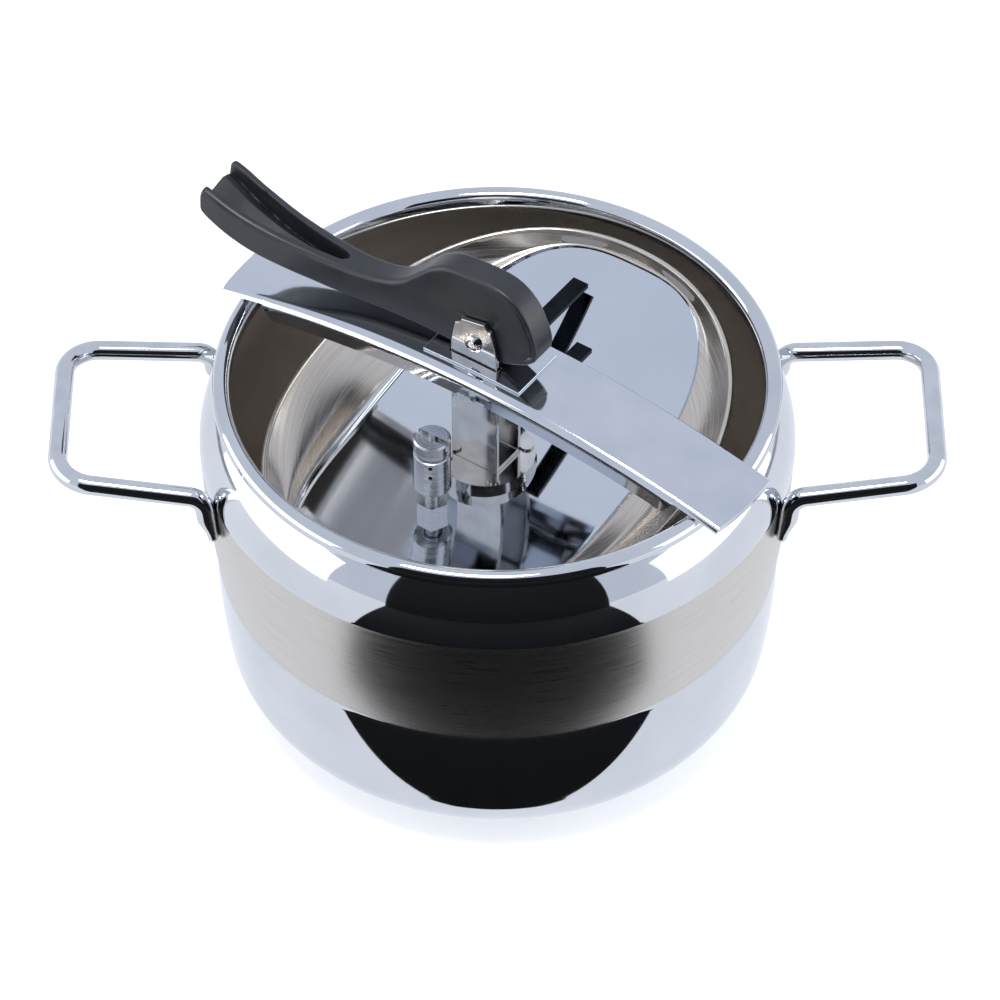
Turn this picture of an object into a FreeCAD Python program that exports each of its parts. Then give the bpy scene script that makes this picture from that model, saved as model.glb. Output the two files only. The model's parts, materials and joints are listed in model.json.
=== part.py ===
import FreeCAD, Part
import Sketcher
import math
import os

# Stovetop pressure cooker with a flexible lid that works inside the mouth of the pot.
# Millimetres, +Z up.  The origin is on the pot's axis, at the underside of its base.
# The wire handles lie along X.  The bridge bar, the lid and the lever are drawn with the
# bar along their own X and are then turned together about Z by bar_turn.

SIZES = {
    # pot
    "belly_radius": (120.0, "widest outer radius, at the top of the brushed band"),
    "belly_height": (131.0, "height of the widest circle"),
    "shoulder_arc": (36.2, "radius of the shoulder, which starts upright at the widest circle"),
    "band_foot_radius": (115.0, "outer radius at the foot of the brushed band"),
    "band_foot_height": (74.0, "height of the foot of the brushed band"),
    "heel_radius": (112.2, "outer radius where the bottom corner meets the wall"),
    "heel_height": (32.0, "height where the bottom corner meets the wall"),
    "sheet": (1.4, "thickness of the pot's steel"),
    "bead_radius": (3.6, "radius of the rolled bead's section"),
    "rim_radius": (114.0, "outer radius of the rolled bead"),
    "rim_height": (164.2, "height of the top of the bead"),
    "base_radius": (92.0, "outer radius of the base capsule"),
    "base_stack": (7.0, "height of the pot's own floor above the table"),
    "capsule_sheet": (1.2, "thickness of the base capsule"),
    "core_radius": (88.0, "radius of the aluminium core"),
    # wire handles
    "wire_radius": (4.0, "radius of the handle wire"),
    "handle_reach": (175.0, "distance of the grip's centre line from the axis"),
    "handle_half_span": (42.0, "half the distance between the two legs at the wall"),
    "handle_grip_half": (38.0, "half the distance between the legs at the grip"),
    "handle_height": (136.0, "height of the legs where they leave the wall"),
    "handle_rise": (5.5, "how much higher the grip is than the legs' roots"),
    "handle_foot": (18.0, "how far the wire runs down the wall"),
    "handle_corner": (15.0, "bend radius at the grip's corners"),
    "foot_bend": (7.0, "bend radius where a leg turns down the wall"),
    # bridge bar
    "bar_turn": (-35.0, "direction of the bar about Z, in degrees"),
    "bar_offset": (-5.0, "how far the bar sits from the pot's axis, across its length"),
    "bar_width": (38.0, "width of the bar"),
    "bar_plate": (2.2, "thickness of the bar's steel"),
    "bar_arch": (474.0, "radius of the arch, at the underside of the top plate"),
    "bar_flange": (9.5, "depth of the side flanges from the top face"),
    "bar_round": (4.0, "outside radius of the bent edges"),
    "bar_overhang": (8.0, "how far the tips reach past the rim"),
    "flange_gap": (5.5, "gap between a flange's end and the inside of the rim"),
    "rim_gap": (0.3, "gap between the bar's tips and the bead"),
    "cam_plate_thick": (1.2, "thickness of the wear plate under the lever"),
    "cam_plate_half": (23.0, "half the length of the wear plate"),
    "cam_plate_width": (27.0, "width of the wear plate"),
    "slot_gap": (0.6, "gap round a stirrup leg in its slot"),
    # stirrup and its pin
    "pin_along": (-2.0, "place of the pivot pin along the bar"),
    "pin_over_bar": (10.3, "height of the pivot pin over the bar's crest"),
    "pin_radius": (3.0, "radius of the pivot pin"),
    "pin_head": (3.8, "radius of the pin's heads"),
    "pin_head_thick": (1.5, "thickness of the pin's heads"),
    "strap": (2.0, "thickness of the stirrup's legs"),
    "leg_width": (22.0, "width of the stirrup's legs"),
    "ear_over_pin": (12.0, "height of the stirrup's ears over the pin"),
    "seat_radius": (20.0, "radius of the round seat under the stirrup"),
    "seat_thick": (3.7, "thickness of the round seat at its thickest"),
    "rivet_radius": (1.8, "radius of the seat's rivets"),
    "rivet_head": (1.0, "how far a rivet's head stands out, up and sideways"),
    "rivet_circle": (16.6, "distance of the seat's rivets from its centre"),
    "fork_spacing": (23.0, "distance between the fork's arms"),
    "fork_arm": (7.5, "width of a fork arm"),
    "fork_thick": (2.5, "thickness of the fork"),
    "fork_long": (84.0, "reach of the fork's long arm from the bar's middle"),
    "fork_short": (53.0, "reach of the fork's short arm from the bar's middle"),
    "fork_drop": (42.2, "depth of the fork's top under the pivot pin"),
    # lever
    "neck": (12.0, "thickness of the lever between the ears"),
    "grip_width": (24.0, "width of the lever at its free end"),
    "lever_reach": (131.0, "distance from the pin to the lever's free end"),
    "nose_reach": (28.0, "distance from the pin to the cam nose"),
    "head_height": (32.0, "height of the lever's head over the pin"),
    "sole": (8.2, "depth of the head's underside below the pin"),
    "bush_wall": (1.5, "wall of the steel bush in the lever"),
    "running_gap": (0.05, "radial clearance of the bush on the pin"),
    "side_gap": (0.5, "gap between the lever and each ear"),
    # lid
    "lid_height": (120.0, "height of the lid's floor at the pot's axis"),
    "lid_bend": (340.0, "radius to which the spring lid is bowed"),
    "lid_lean": (50.0, "how far in front of the axis the bowed floor is lowest, as the lid hangs askew"),
    "lid_half_width": (87.0, "half the lid's width, along the bar"),
    "lid_half_length": (101.0, "half the lid's length, across the bar"),
    "lid_sheet": (1.0, "thickness of the lid's spring steel"),
    "lid_wall": (17.0, "height of the lid's wall"),
    "lid_ledge": (5.0, "height of the ledge between floor and wall"),
    "lid_panel_half": (57.0, "half the width of the lid's floor panel, along the bar"),
    "lid_curl": (1.5, "thickness of the rolled edge on the lid's wall"),
    "gasket": (3.0, "how far the gasket stands out from the lid's wall"),
    "gasket_height": (8.0, "height of the gasket"),
    # regulating valve
    "valve_along": (-5.0, "place of the regulating valve along the bar"),
    "valve_across": (-38.0, "place of the regulating valve across the bar"),
    "weight_radius": (7.6, "radius of the regulating weight"),
    "weight_height": (27.0, "height of the regulating weight"),
    "weight_seat": (13.0, "height of the weight's foot over the lid's floor"),
    "vent_collar": (7.0, "radius over the corners of the vent's hexagon"),
    "vent_collar_tall": (6.0, "height of the vent's hexagon over the lid's floor"),
    "vent_radius": (3.2, "outer radius of the vent tube"),
    "vent_bore": (1.4, "radius of the vent's bore"),
    "vent_inside": (13.0, "how far the vent tube reaches up inside the weight"),
    "washer_rim": (0.6, "how far a valve's washer stands out past its nut"),
    "washer_thick": (1.6, "thickness of a valve's washer at its thinnest"),
    "nut_height": (4.0, "height of the nut under a valve"),
    "weight_pin": (1.5, "radius of the pin in the regulating weight"),
    "weight_jet": (0.8, "radius of the jet over the vent"),
    "weight_hole": (0.9, "radius of the holes round the weight"),
    "weight_edge": (0.7, "width of the bevel on the weight's top edge"),
    "cage_wall": (1.3, "wall of the safety valve's cage"),
    "cage_seat": (1.8, "height of the safety valve's seat over the lid"),
    "spring_wire": (0.45, "radius of the safety valve's spring wire"),
    "vent_gap": (0.35, "gap between the vent tube and the weight"),
    # safety valve
    "safety_along": (44.0, "place of the safety valve along the bar"),
    "safety_across": (28.0, "place of the safety valve across the bar"),
    "safety_radius": (7.0, "radius of the safety valve's cage"),
    "safety_height": (17.0, "height of the safety valve's cage over the lid"),
    "poppet_radius": (3.0, "radius of the safety valve's stem"),
}

doc = FreeCAD.newDocument("stovetop_pressure_cooker")
sheet = doc.addObject("Spreadsheet::Sheet", "Sizes")
for row, (alias, (number, note)) in enumerate(SIZES.items(), start=1):
    sheet.set("A%d" % row, alias)
    sheet.set("B%d" % row, str(number))
    sheet.set("C%d" % row, note)
    sheet.setAlias("B%d" % row, alias)
doc.recompute()


class Term:
    """A number together with the sheet expression that gives it."""

    def __init__(self, number, text):
        self.number = number
        self.text = text

    def join(self, other, sign, number):
        other_text = other.text if isinstance(other, Term) else repr(other)
        return Term(number, "(%s %s %s)" % (self.text, sign, other_text))

    def __add__(self, other):
        return self.join(other, "+", self.number + plain(other))

    def __sub__(self, other):
        return self.join(other, "-", self.number - plain(other))

    def __mul__(self, other):
        return self.join(other, "*", self.number * plain(other))

    def __truediv__(self, other):
        return self.join(other, "/", self.number / plain(other))

    def __neg__(self):
        return Term(-self.number, "(0 - %s)" % self.text)


def plain(value):
    """The number behind a Term, or the number itself."""
    return value.number if isinstance(value, Term) else float(value)


def root(term):
    """Square root of a Term."""
    return Term(math.sqrt(term.number), "sqrt(%s)" % term.text)


def size(alias):
    """The sheet's value of that name, as a Term."""
    return Term(SIZES[alias][0], "Sizes.%s" % alias)


def bind(obj, **formulas):
    """Ties properties of an object to expressions."""
    for prop, term in formulas.items():
        obj.setExpression(prop.replace("__", "."), term.text if isinstance(term, Term) else repr(term))


def turned(obj, across=None):
    """Turns a finished piece about Z with the bar, after moving it across the bar."""
    across = across or Term(0.0, "0")
    bind(obj, Placement__Rotation__Angle=size("bar_turn"))
    obj.setExpression("Placement.Base.x", "0 - %s * sin(Sizes.bar_turn * 1deg)" % across.text)
    obj.setExpression("Placement.Base.y", "%s * cos(Sizes.bar_turn * 1deg)" % across.text)
    obj.setExpression("Placement.Base.z", "0")


def origin_plane(body, role):
    """One of the body's own origin planes."""
    return next(part for part in body.Origin.OriginFeatures if part.Role == role)


def arc_centre(start, end, radius, bulge):
    """Centre of the arc from start to end; bulge +1 turns left of the chord, -1 right."""
    chord = end - start
    half = chord.Length / 2
    rise = math.sqrt(max(radius * radius - half * half, 0.0))
    left = FreeCAD.Vector(-chord.y, chord.x, 0).normalize()
    return (start + end) * 0.5 - left * bulge * rise


def outline(sketch, corners):
    """Closed outline through corners (x, y) or (x, y, radius, bulge[, "long"]).

    A corner's radius and bulge belong to the arc that arrives at it from the corner before.
    """
    first = sketch.GeometryCount
    points = [FreeCAD.Vector(plain(c[0]), plain(c[1]), 0) for c in corners]
    ends = []
    for i, corner in enumerate(corners):
        start, end = points[i - 1], points[i]
        if len(corner) == 2:
            sketch.addGeometry(Part.LineSegment(start, end), False)
            ends.append((1, 2))
            continue
        radius, bulge = plain(corner[2]), corner[3]
        far = len(corner) == 5
        centre = arc_centre(start, end, radius, -bulge if far else bulge)
        from_angle = math.atan2(start.y - centre.y, start.x - centre.x)
        to_angle = math.atan2(end.y - centre.y, end.x - centre.x)
        clockwise = bulge > 0
        low, high = (to_angle, from_angle) if clockwise else (from_angle, to_angle)
        circle = Part.Circle(centre, FreeCAD.Vector(0, 0, 1), radius)
        sketch.addGeometry(Part.ArcOfCircle(circle, low, high), False)
        ends.append((2, 1) if clockwise else (1, 2))
    for i, corner in enumerate(corners):
        edge, after = first + i, first + (i + 1) % len(corners)
        arrive, leave = ends[i][1], ends[(i + 1) % len(corners)][0]
        sketch.addConstraint(Sketcher.Constraint("Coincident", edge, arrive, after, leave))
        for kind, place in (("DistanceX", corner[0]), ("DistanceY", corner[1])):
            rule = sketch.addConstraint(Sketcher.Constraint(kind, -1, 1, edge, arrive, plain(place)))
            if isinstance(place, Term):
                sketch.setExpression("Constraints[%d]" % rule, place.text)
        if len(corner) > 2:
            rule = sketch.addConstraint(Sketcher.Constraint("Radius", edge, plain(corner[2])))
            if isinstance(corner[2], Term):
                sketch.setExpression("Constraints[%d]" % rule, corner[2].text)


def disc(sketch, x, y, radius):
    """A circle in a sketch."""
    circle = Part.Circle(FreeCAD.Vector(plain(x), plain(y), 0), FreeCAD.Vector(0, 0, 1), plain(radius))
    edge = sketch.addGeometry(circle, False)
    for kind, place in (("DistanceX", x), ("DistanceY", y)):
        rule = sketch.addConstraint(Sketcher.Constraint(kind, -1, 1, edge, 3, plain(place)))
        if isinstance(place, Term):
            sketch.setExpression("Constraints[%d]" % rule, place.text)
    rule = sketch.addConstraint(Sketcher.Constraint("Radius", edge, plain(radius)))
    if isinstance(radius, Term):
        sketch.setExpression("Constraints[%d]" % rule, radius.text)


def new_body(label):
    """An empty PartDesign body."""
    body = doc.addObject("PartDesign::Body", label)
    body.Label = label
    return body


def new_sketch(body, name, role="XZ_Plane"):
    """A sketch on one of the body's own planes."""
    sketch = body.newObject("Sketcher::SketchObject", name)
    sketch.AttachmentSupport = [(origin_plane(body, role), "")]
    sketch.MapMode = "FlatFace"
    return sketch


def revolved(body, name, corners):
    """Turns a closed outline about the body's Z axis."""
    sketch = new_sketch(body, name + "_outline")
    outline(sketch, corners)
    spun = body.newObject("PartDesign::Revolution", name)
    spun.Profile = sketch
    spun.ReferenceAxis = (sketch, ["V_Axis"])
    spun.Angle = 360
    doc.recompute()
    return spun


def padded(body, name, corners, length, role="XZ_Plane", both=True):
    """Pads a closed outline, to both sides of its plane unless told otherwise."""
    sketch = new_sketch(body, name + "_outline", role)
    outline(sketch, corners)
    pad = body.newObject("PartDesign::Pad", name)
    pad.Profile = sketch
    pad.SideType = "Symmetric" if both else "One side"
    bind(pad, Length=length)
    doc.recompute()
    return pad


def pocketed(body, name, length, role="XZ_Plane", corners=None, discs=(), through=False):
    """Cuts outlines or discs out of the body, to both sides of the plane, and checks the loss."""
    before = body.Shape.Volume
    sketch = new_sketch(body, name + "_outline", role)
    for shape in corners or ():
        outline(sketch, shape)
    for spot in discs:
        disc(sketch, *spot)
    cut = body.newObject("PartDesign::Pocket", name)
    cut.Profile = sketch
    cut.SideType = "Symmetric"
    if through:
        cut.Type = "ThroughAll"
    else:
        bind(cut, Length=length)
    doc.recompute()
    if body.Shape.Volume >= before:
        raise RuntimeError(name + " cuts nothing")
    return cut


def rounded(body, name, feature, radius, chosen):
    """Fillets the edges of a feature that the test chooses."""
    fillet = body.newObject("PartDesign::Fillet", name)
    names = ["Edge%d" % (i + 1) for i, edge in enumerate(feature.Shape.Edges) if chosen(edge)]
    fillet.Base = (feature, names)
    bind(fillet, Radius=radius)
    doc.recompute()
    return fillet


def cylinder(name, radius, height, x=0.0, y=0.0, z=0.0):
    """An upright Part cylinder bound to the sheet."""
    obj = doc.addObject("Part::Cylinder", name)
    bind(obj, Radius=radius, Height=height, Placement__Base__x=x, Placement__Base__y=y, Placement__Base__z=z)
    return obj


def box(name, x_range, y_range, z_range):
    """A Part box between pairs of bounds, bound to the sheet."""
    obj = doc.addObject("Part::Box", name)
    ranges = (("Length", "x", x_range), ("Width", "y", y_range), ("Height", "z", z_range))
    for side, axis, (low, high) in ranges:
        span = high - low
        obj.setExpression(side, span.text if isinstance(span, Term) else repr(span))
        obj.setExpression("Placement.Base." + axis, low.text if isinstance(low, Term) else repr(low))
    return obj


def fuse(name, parts):
    """A Part fusion of several objects."""
    obj = doc.addObject("Part::MultiFuse", name)
    obj.Shapes = parts
    obj.Refine = True
    return obj


def cut(name, base, tool):
    """A Part cut."""
    obj = doc.addObject("Part::Cut", name)
    obj.Base = base
    obj.Tool = tool
    return obj


def common(name, base, tool):
    """A Part intersection."""
    obj = doc.addObject("Part::Common", name)
    obj.Base = base
    obj.Tool = tool
    return obj


NODES = []


def node(obj, label):
    """Marks an object as a finished piece, written to a file of its label."""
    obj.Label = label
    NODES.append(obj)
    return obj


zero = Term(0.0, "0")

# Places worked out from the driving sizes
bead_centre_radius = size("rim_radius") - size("bead_radius")
bead_centre_height = size("rim_height") - size("bead_radius")
mouth_radius = size("rim_radius") - size("bead_radius") * 2
neck_radius = bead_centre_radius - size("bead_radius") * 0.7071
neck_height = bead_centre_height - root(size("bead_radius") * size("bead_radius")
                                        - (bead_centre_radius - neck_radius)
                                        * (bead_centre_radius - neck_radius))
arch_clear = size("bar_arch") - size("bead_radius") - size("rim_gap")
arch_centre = bead_centre_height - root(arch_clear * arch_clear - bead_centre_radius * bead_centre_radius)
bar_top_arch = size("bar_arch") + size("bar_plate")
crest = arch_centre + bar_top_arch
pin_height = crest + size("pin_over_bar")
tip_radius = size("rim_radius") + size("bar_overhang")
ear_inner = size("neck") / 2 + size("side_gap")
ear_outer = ear_inner + size("strap")
lid_middle = zero - size("bar_offset")
bow_middle = zero - size("lid_lean")
bow_centre = size("lid_height") + root(size("lid_bend") * size("lid_bend") - bow_middle * bow_middle)


def arch_height(radius, along):
    """Height of the bar's arch of that radius at a distance along the bar."""
    return arch_centre + root(radius * radius - along * along)


def lid_floor(across):
    """Height of the bowed lid's upper face at a distance across the bar from the pot's axis."""
    bend = size("lid_bend")
    reach = size("lid_lean") + across
    return bow_centre - root(bend * bend - reach * reach)


# Pot
def make_pot():
    wall = size("sheet")
    body = new_body("pot_shell")
    floor = size("base_stack")
    shoulder = size("shoulder_arc")
    heel = size("heel_height") - floor
    corners = [
        (zero, floor),
        (size("base_radius") - 2, floor),
        (size("heel_radius"), size("heel_height"), heel * 1.1, -1),
        (size("band_foot_radius"), size("band_foot_height"), size("belly_radius") * 2.6, -1),
        (size("belly_radius"), size("belly_height"), size("belly_radius") * 3.6, -1),
        (neck_radius, neck_height, shoulder, -1),
        (mouth_radius, bead_centre_height, size("bead_radius"), -1, "long"),
        (mouth_radius - 0.1, neck_height - 0.6),
        (size("belly_radius") - wall, size("belly_height"), shoulder - wall, 1),
        (size("band_foot_radius") - wall, size("band_foot_height"), size("belly_radius") * 3.6, 1),
        (size("heel_radius") - wall, size("heel_height"), size("belly_radius") * 2.6, 1),
        (size("base_radius") - 2, floor + wall, heel * 1.1 - wall, 1),
        (zero, floor + wall),
    ]
    revolved(body, "pot_turned", corners)
    node(body, "pot_shell")

    core = cylinder("base_core", size("core_radius"), size("base_stack") - size("capsule_sheet"),
                    z=size("capsule_sheet"))
    node(core, "base_core")

    capsule = new_body("base_capsule")
    skin = size("capsule_sheet")
    revolved(capsule, "capsule_turned", [
        (zero, zero),
        (size("base_radius") - size("base_stack") * 0.7, zero),
        (size("base_radius"), size("base_stack") * 0.7, size("base_stack") * 0.7, -1),
        (size("base_radius"), size("base_stack")),
        (size("core_radius") + 0.3, size("base_stack")),
        (size("core_radius") + 0.3, skin),
        (zero, skin),
    ])
    node(capsule, "base_capsule")


def bent_wire(points, bends, radius):
    """A round wire along straight runs joined by tangent arcs, one bend radius per inner point."""
    spots = [FreeCAD.Vector(*p) for p in points]
    edges = []
    start = spots[0]
    for i in range(1, len(spots) - 1):
        into = (spots[i] - spots[i - 1]).normalize()
        out = (spots[i + 1] - spots[i]).normalize()
        turn = into.getAngle(out)
        reach = bends[i - 1] * math.tan(turn / 2)
        near, far = spots[i] - into * reach, spots[i] + out * reach
        middle_way = (out - into).normalize()
        middle = spots[i] + middle_way * (bends[i - 1] / math.cos(turn / 2) - bends[i - 1])
        edges.append(Part.LineSegment(start, near).toShape())
        edges.append(Part.Arc(near, middle, far).toShape())
        start = far
    edges.append(Part.LineSegment(start, spots[-1]).toShape())
    path = Part.Wire(edges)
    section = Part.Wire(Part.Circle(spots[0], spots[1] - spots[0], radius).toShape())
    return path.makePipeShell([section], True, True)


def wall_radius(height):
    """Outer radius of the pot just under its widest circle."""
    foot, belly = plain(size("band_foot_height")), plain(size("belly_height"))
    share = min((height - foot) / (belly - foot), 1.0)
    low, high = plain(size("band_foot_radius")), plain(size("belly_radius"))
    return low + (high - low) * (1 - (1 - share) ** 2 * 0.35 - (1 - share) * 0.65)


def make_handles():
    wire = plain(size("wire_radius"))
    span, grip = plain(size("handle_half_span")), plain(size("handle_grip_half"))
    high = plain(size("handle_height"))
    top = high + plain(size("handle_rise"))
    low = high - plain(size("handle_foot"))
    touch = plain(size("belly_radius")) + wire
    foot_x = math.sqrt((wall_radius(low) + wire) ** 2 - (span + 2) ** 2)
    root_x = math.sqrt(touch ** 2 - span ** 2)
    reach = plain(size("handle_reach"))
    bends = [plain(size("foot_bend")), plain(size("handle_corner"))]
    for name, side in (("handle_left", -1), ("handle_right", 1)):
        points = [
            (side * foot_x, span + 2, low),
            (side * root_x, span, high),
            (side * reach, grip, top),
            (side * reach, -grip, top),
            (side * root_x, -span, high),
            (side * foot_x, -span - 2, low),
        ]
        wire_shape = bent_wire(points, bends + bends[::-1], wire)
        handle = doc.addObject("Part::Feature", name)
        handle.Shape = wire_shape
        handle.Placement = FreeCAD.Placement()
        node(handle, name)


# Bridge bar
def make_bar():
    body = new_body("bar_channel")
    top, under = bar_top_arch, size("bar_arch")
    foot = bar_top_arch - size("bar_flange")
    end = tip_radius + 4
    blank = padded(body, "bar_blank", [
        (-end, arch_height(top, end)),
        (end, arch_height(top, end), top, 1),
        (end, arch_height(foot, end)),
        (-end, arch_height(foot, end), foot, -1),
    ], size("bar_width"))
    half = plain(size("bar_width")) / 2
    low = plain(arch_height(top, end)) - 1

    def long_top_edge(edge):
        spots = [v.Point for v in edge.Vertexes]
        return edge.Length > half and all(abs(abs(p.y) - half) < 0.01 and p.z > low for p in spots)

    rounded(body, "bar_bends", blank, size("bar_round"), long_top_edge)
    below = size("rim_height") - 40
    wide = end + 4
    pocketed(body, "bar_hollow", size("bar_width") - size("bar_plate") * 2, corners=[[
        (-wide, below),
        (-wide, arch_height(under, wide)),
        (wide, arch_height(under, wide), under, 1),
        (wide, below),
    ]])
    flange_end = mouth_radius - size("flange_gap")
    slope = size("bar_flange") * 0.5
    tips = []
    for side in (-1, 1):
        near, far = flange_end * side, wide * side
        lean = (flange_end - slope) * side
        tips.append([
            (near, arch_height(under, near)),
            (far, arch_height(under, far), under, side),
            (far, below),
            (lean, below),
            (lean, arch_height(foot, lean)),
        ])
    pocketed(body, "bar_tips", size("bar_width") * 2, corners=tips)
    slots = []
    half_leg = size("leg_width") / 2 + size("slot_gap")
    for side in (-1, 1):
        middle = (ear_inner + ear_outer) / 2 * side
        reach = size("strap") / 2 + size("slot_gap")
        slots.append([
            (size("pin_along") - half_leg, middle - reach),
            (size("pin_along") + half_leg, middle - reach),
            (size("pin_along") + half_leg, middle + reach),
            (size("pin_along") - half_leg, middle + reach),
        ])
    pocketed(body, "bar_slots", None, role="XY_Plane", corners=slots, through=True)
    trim = cylinder("bar_trim", tip_radius, size("rim_height") * 2, y=lid_middle)
    bar = common("bridge_bar", body, trim)
    turned(node(bar, "bridge_bar"), size("bar_offset"))

    plate = new_body("cam_plate")
    outer = bar_top_arch + size("cam_plate_thick")
    reach = size("cam_plate_half")
    padded(plate, "cam_plate_blank", [
        (-reach, arch_height(outer, reach)),
        (reach, arch_height(outer, reach), outer, 1),
        (reach, arch_height(top, reach)),
        (-reach, arch_height(top, reach), top, -1),
    ], size("cam_plate_width"))
    pocketed(plate, "cam_plate_slots", None, role="XY_Plane", corners=slots, through=True)
    turned(node(plate, "cam_plate"), size("bar_offset"))


# Stirrup, its pin, its seat and the guide fork
def lying_rod(name, radius, length, along, across, height):
    """A Part cylinder that lies across the bar, starting at the given place."""
    rod = cylinder(name, radius, length, x=along, y=across, z=height)
    rod.Placement.Rotation = FreeCAD.Rotation(FreeCAD.Vector(1, 0, 0), -90)
    return rod


def drum(name, radius, across=None, centre=None):
    """A big cylinder along the bar, by default the one to which the lid's floor is bowed."""
    across = bow_middle if across is None else across
    centre = bow_centre if centre is None else centre
    half = size("lid_half_width") * 1.5
    obj = doc.addObject("Part::Cylinder", name)
    obj.Placement.Rotation = FreeCAD.Rotation(FreeCAD.Vector(0, 1, 0), 90)
    bind(obj, Radius=radius, Height=half * 2, Placement__Base__x=-half, Placement__Base__y=across,
         Placement__Base__z=centre)
    return obj


def rivet_places():
    """Where the seat's four rivets stand, in the bar's frame."""
    step = size("rivet_circle") * 0.7071
    return [(size("pin_along") + step * x, step * y) for x in (-1, 1) for y in (-1, 1)]


def make_stirrup():
    floor = size("lid_height") + size("seat_thick")
    half = size("leg_width") / 2
    pin, top = size("pin_along"), pin_height + size("ear_over_pin")
    body = new_body("stirrup")
    padded(body, "stirrup_blank", [
        (pin - half, floor),
        (pin + half, floor),
        (pin + half, pin_height - 4),
        (pin + half - 3, top - 3),
        (pin + half - 6, top, 3.6, 1),
        (pin - half + 5, top - 2),
        (pin - half + 2, top - 5, 3.2, 1),
        (pin - half, pin_height - 4),
    ], ear_outer * 2)
    deep = floor + size("strap")
    pocketed(body, "stirrup_inside", ear_inner * 2, corners=[[
        (pin - half - 5, deep),
        (pin + half + 5, deep),
        (pin + half + 5, top + 5),
        (pin - half - 5, top + 5),
    ]])
    pocketed(body, "stirrup_eye", ear_outer * 3, discs=[(pin, pin_height, size("pin_radius"))])
    turned(node(body, "stirrup"), size("bar_offset"))

    stand_off = 0.1
    thick = size("pin_head_thick")
    shank = (ear_outer + stand_off) * 2
    rods = [
        lying_rod("pin_shank", size("pin_radius"), shank, pin, -shank / 2, pin_height),
        lying_rod("pin_head_front", size("pin_head"), thick, pin, -shank / 2 - thick, pin_height),
        lying_rod("pin_head_back", size("pin_head"), thick, pin, shank / 2, pin_height),
    ]
    turned(node(fuse("pin_whole", rods), "pivot_pin"), size("bar_offset"))

    deep = size("seat_radius") * 0.25
    blank = cylinder("seat_blank", size("seat_radius"), size("seat_thick") + deep, x=pin,
                     z=size("lid_height") - deep)
    seat = common("seat_bowed", blank, drum("seat_drum", size("lid_bend"), bow_middle + lid_middle))
    holes = []
    rivets = []
    out = size("rivet_head")
    for i, (x, y) in enumerate(rivet_places()):
        under = lid_floor(y + size("bar_offset")) - size("lid_sheet") - 1.2
        tall = floor - under
        holes.append(cylinder("seat_hole_%d" % i, size("rivet_radius"), tall, x=x, y=y, z=under))
        rivets.append(cylinder("rivet_shank_%d" % i, size("rivet_radius"), tall, x=x, y=y, z=under))
        rivets.append(cylinder("rivet_top_%d" % i, size("rivet_radius") + out, out, x=x, y=y, z=floor))
        rivets.append(cylinder("rivet_tail_%d" % i, size("rivet_radius") + out, out, x=x, y=y,
                               z=under - out))
    turned(node(cut("seat_drilled", seat, fuse("seat_holes", holes)), "stirrup_seat"), size("bar_offset"))
    turned(node(fuse("rivet_set", rivets), "seat_rivets"), size("bar_offset"))

    arm = size("fork_arm")
    top = pin_height - size("fork_drop")
    level = (top - size("fork_thick"), top)
    left = pin - size("fork_spacing") / 2 - arm / 2
    right = pin + size("fork_spacing") / 2 - arm / 2
    web = (ear_outer, ear_outer + arm * 1.1)
    plates = [
        box("fork_web", (left, right + arm), web, level),
        box("fork_arm_long", (left, left + arm), (ear_outer, size("fork_long")), level),
        box("fork_arm_short", (right, right + arm), (ear_outer, size("fork_short")), level),
    ]
    turned(node(fuse("fork_whole", plates), "guide_fork"), size("bar_offset"))


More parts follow.
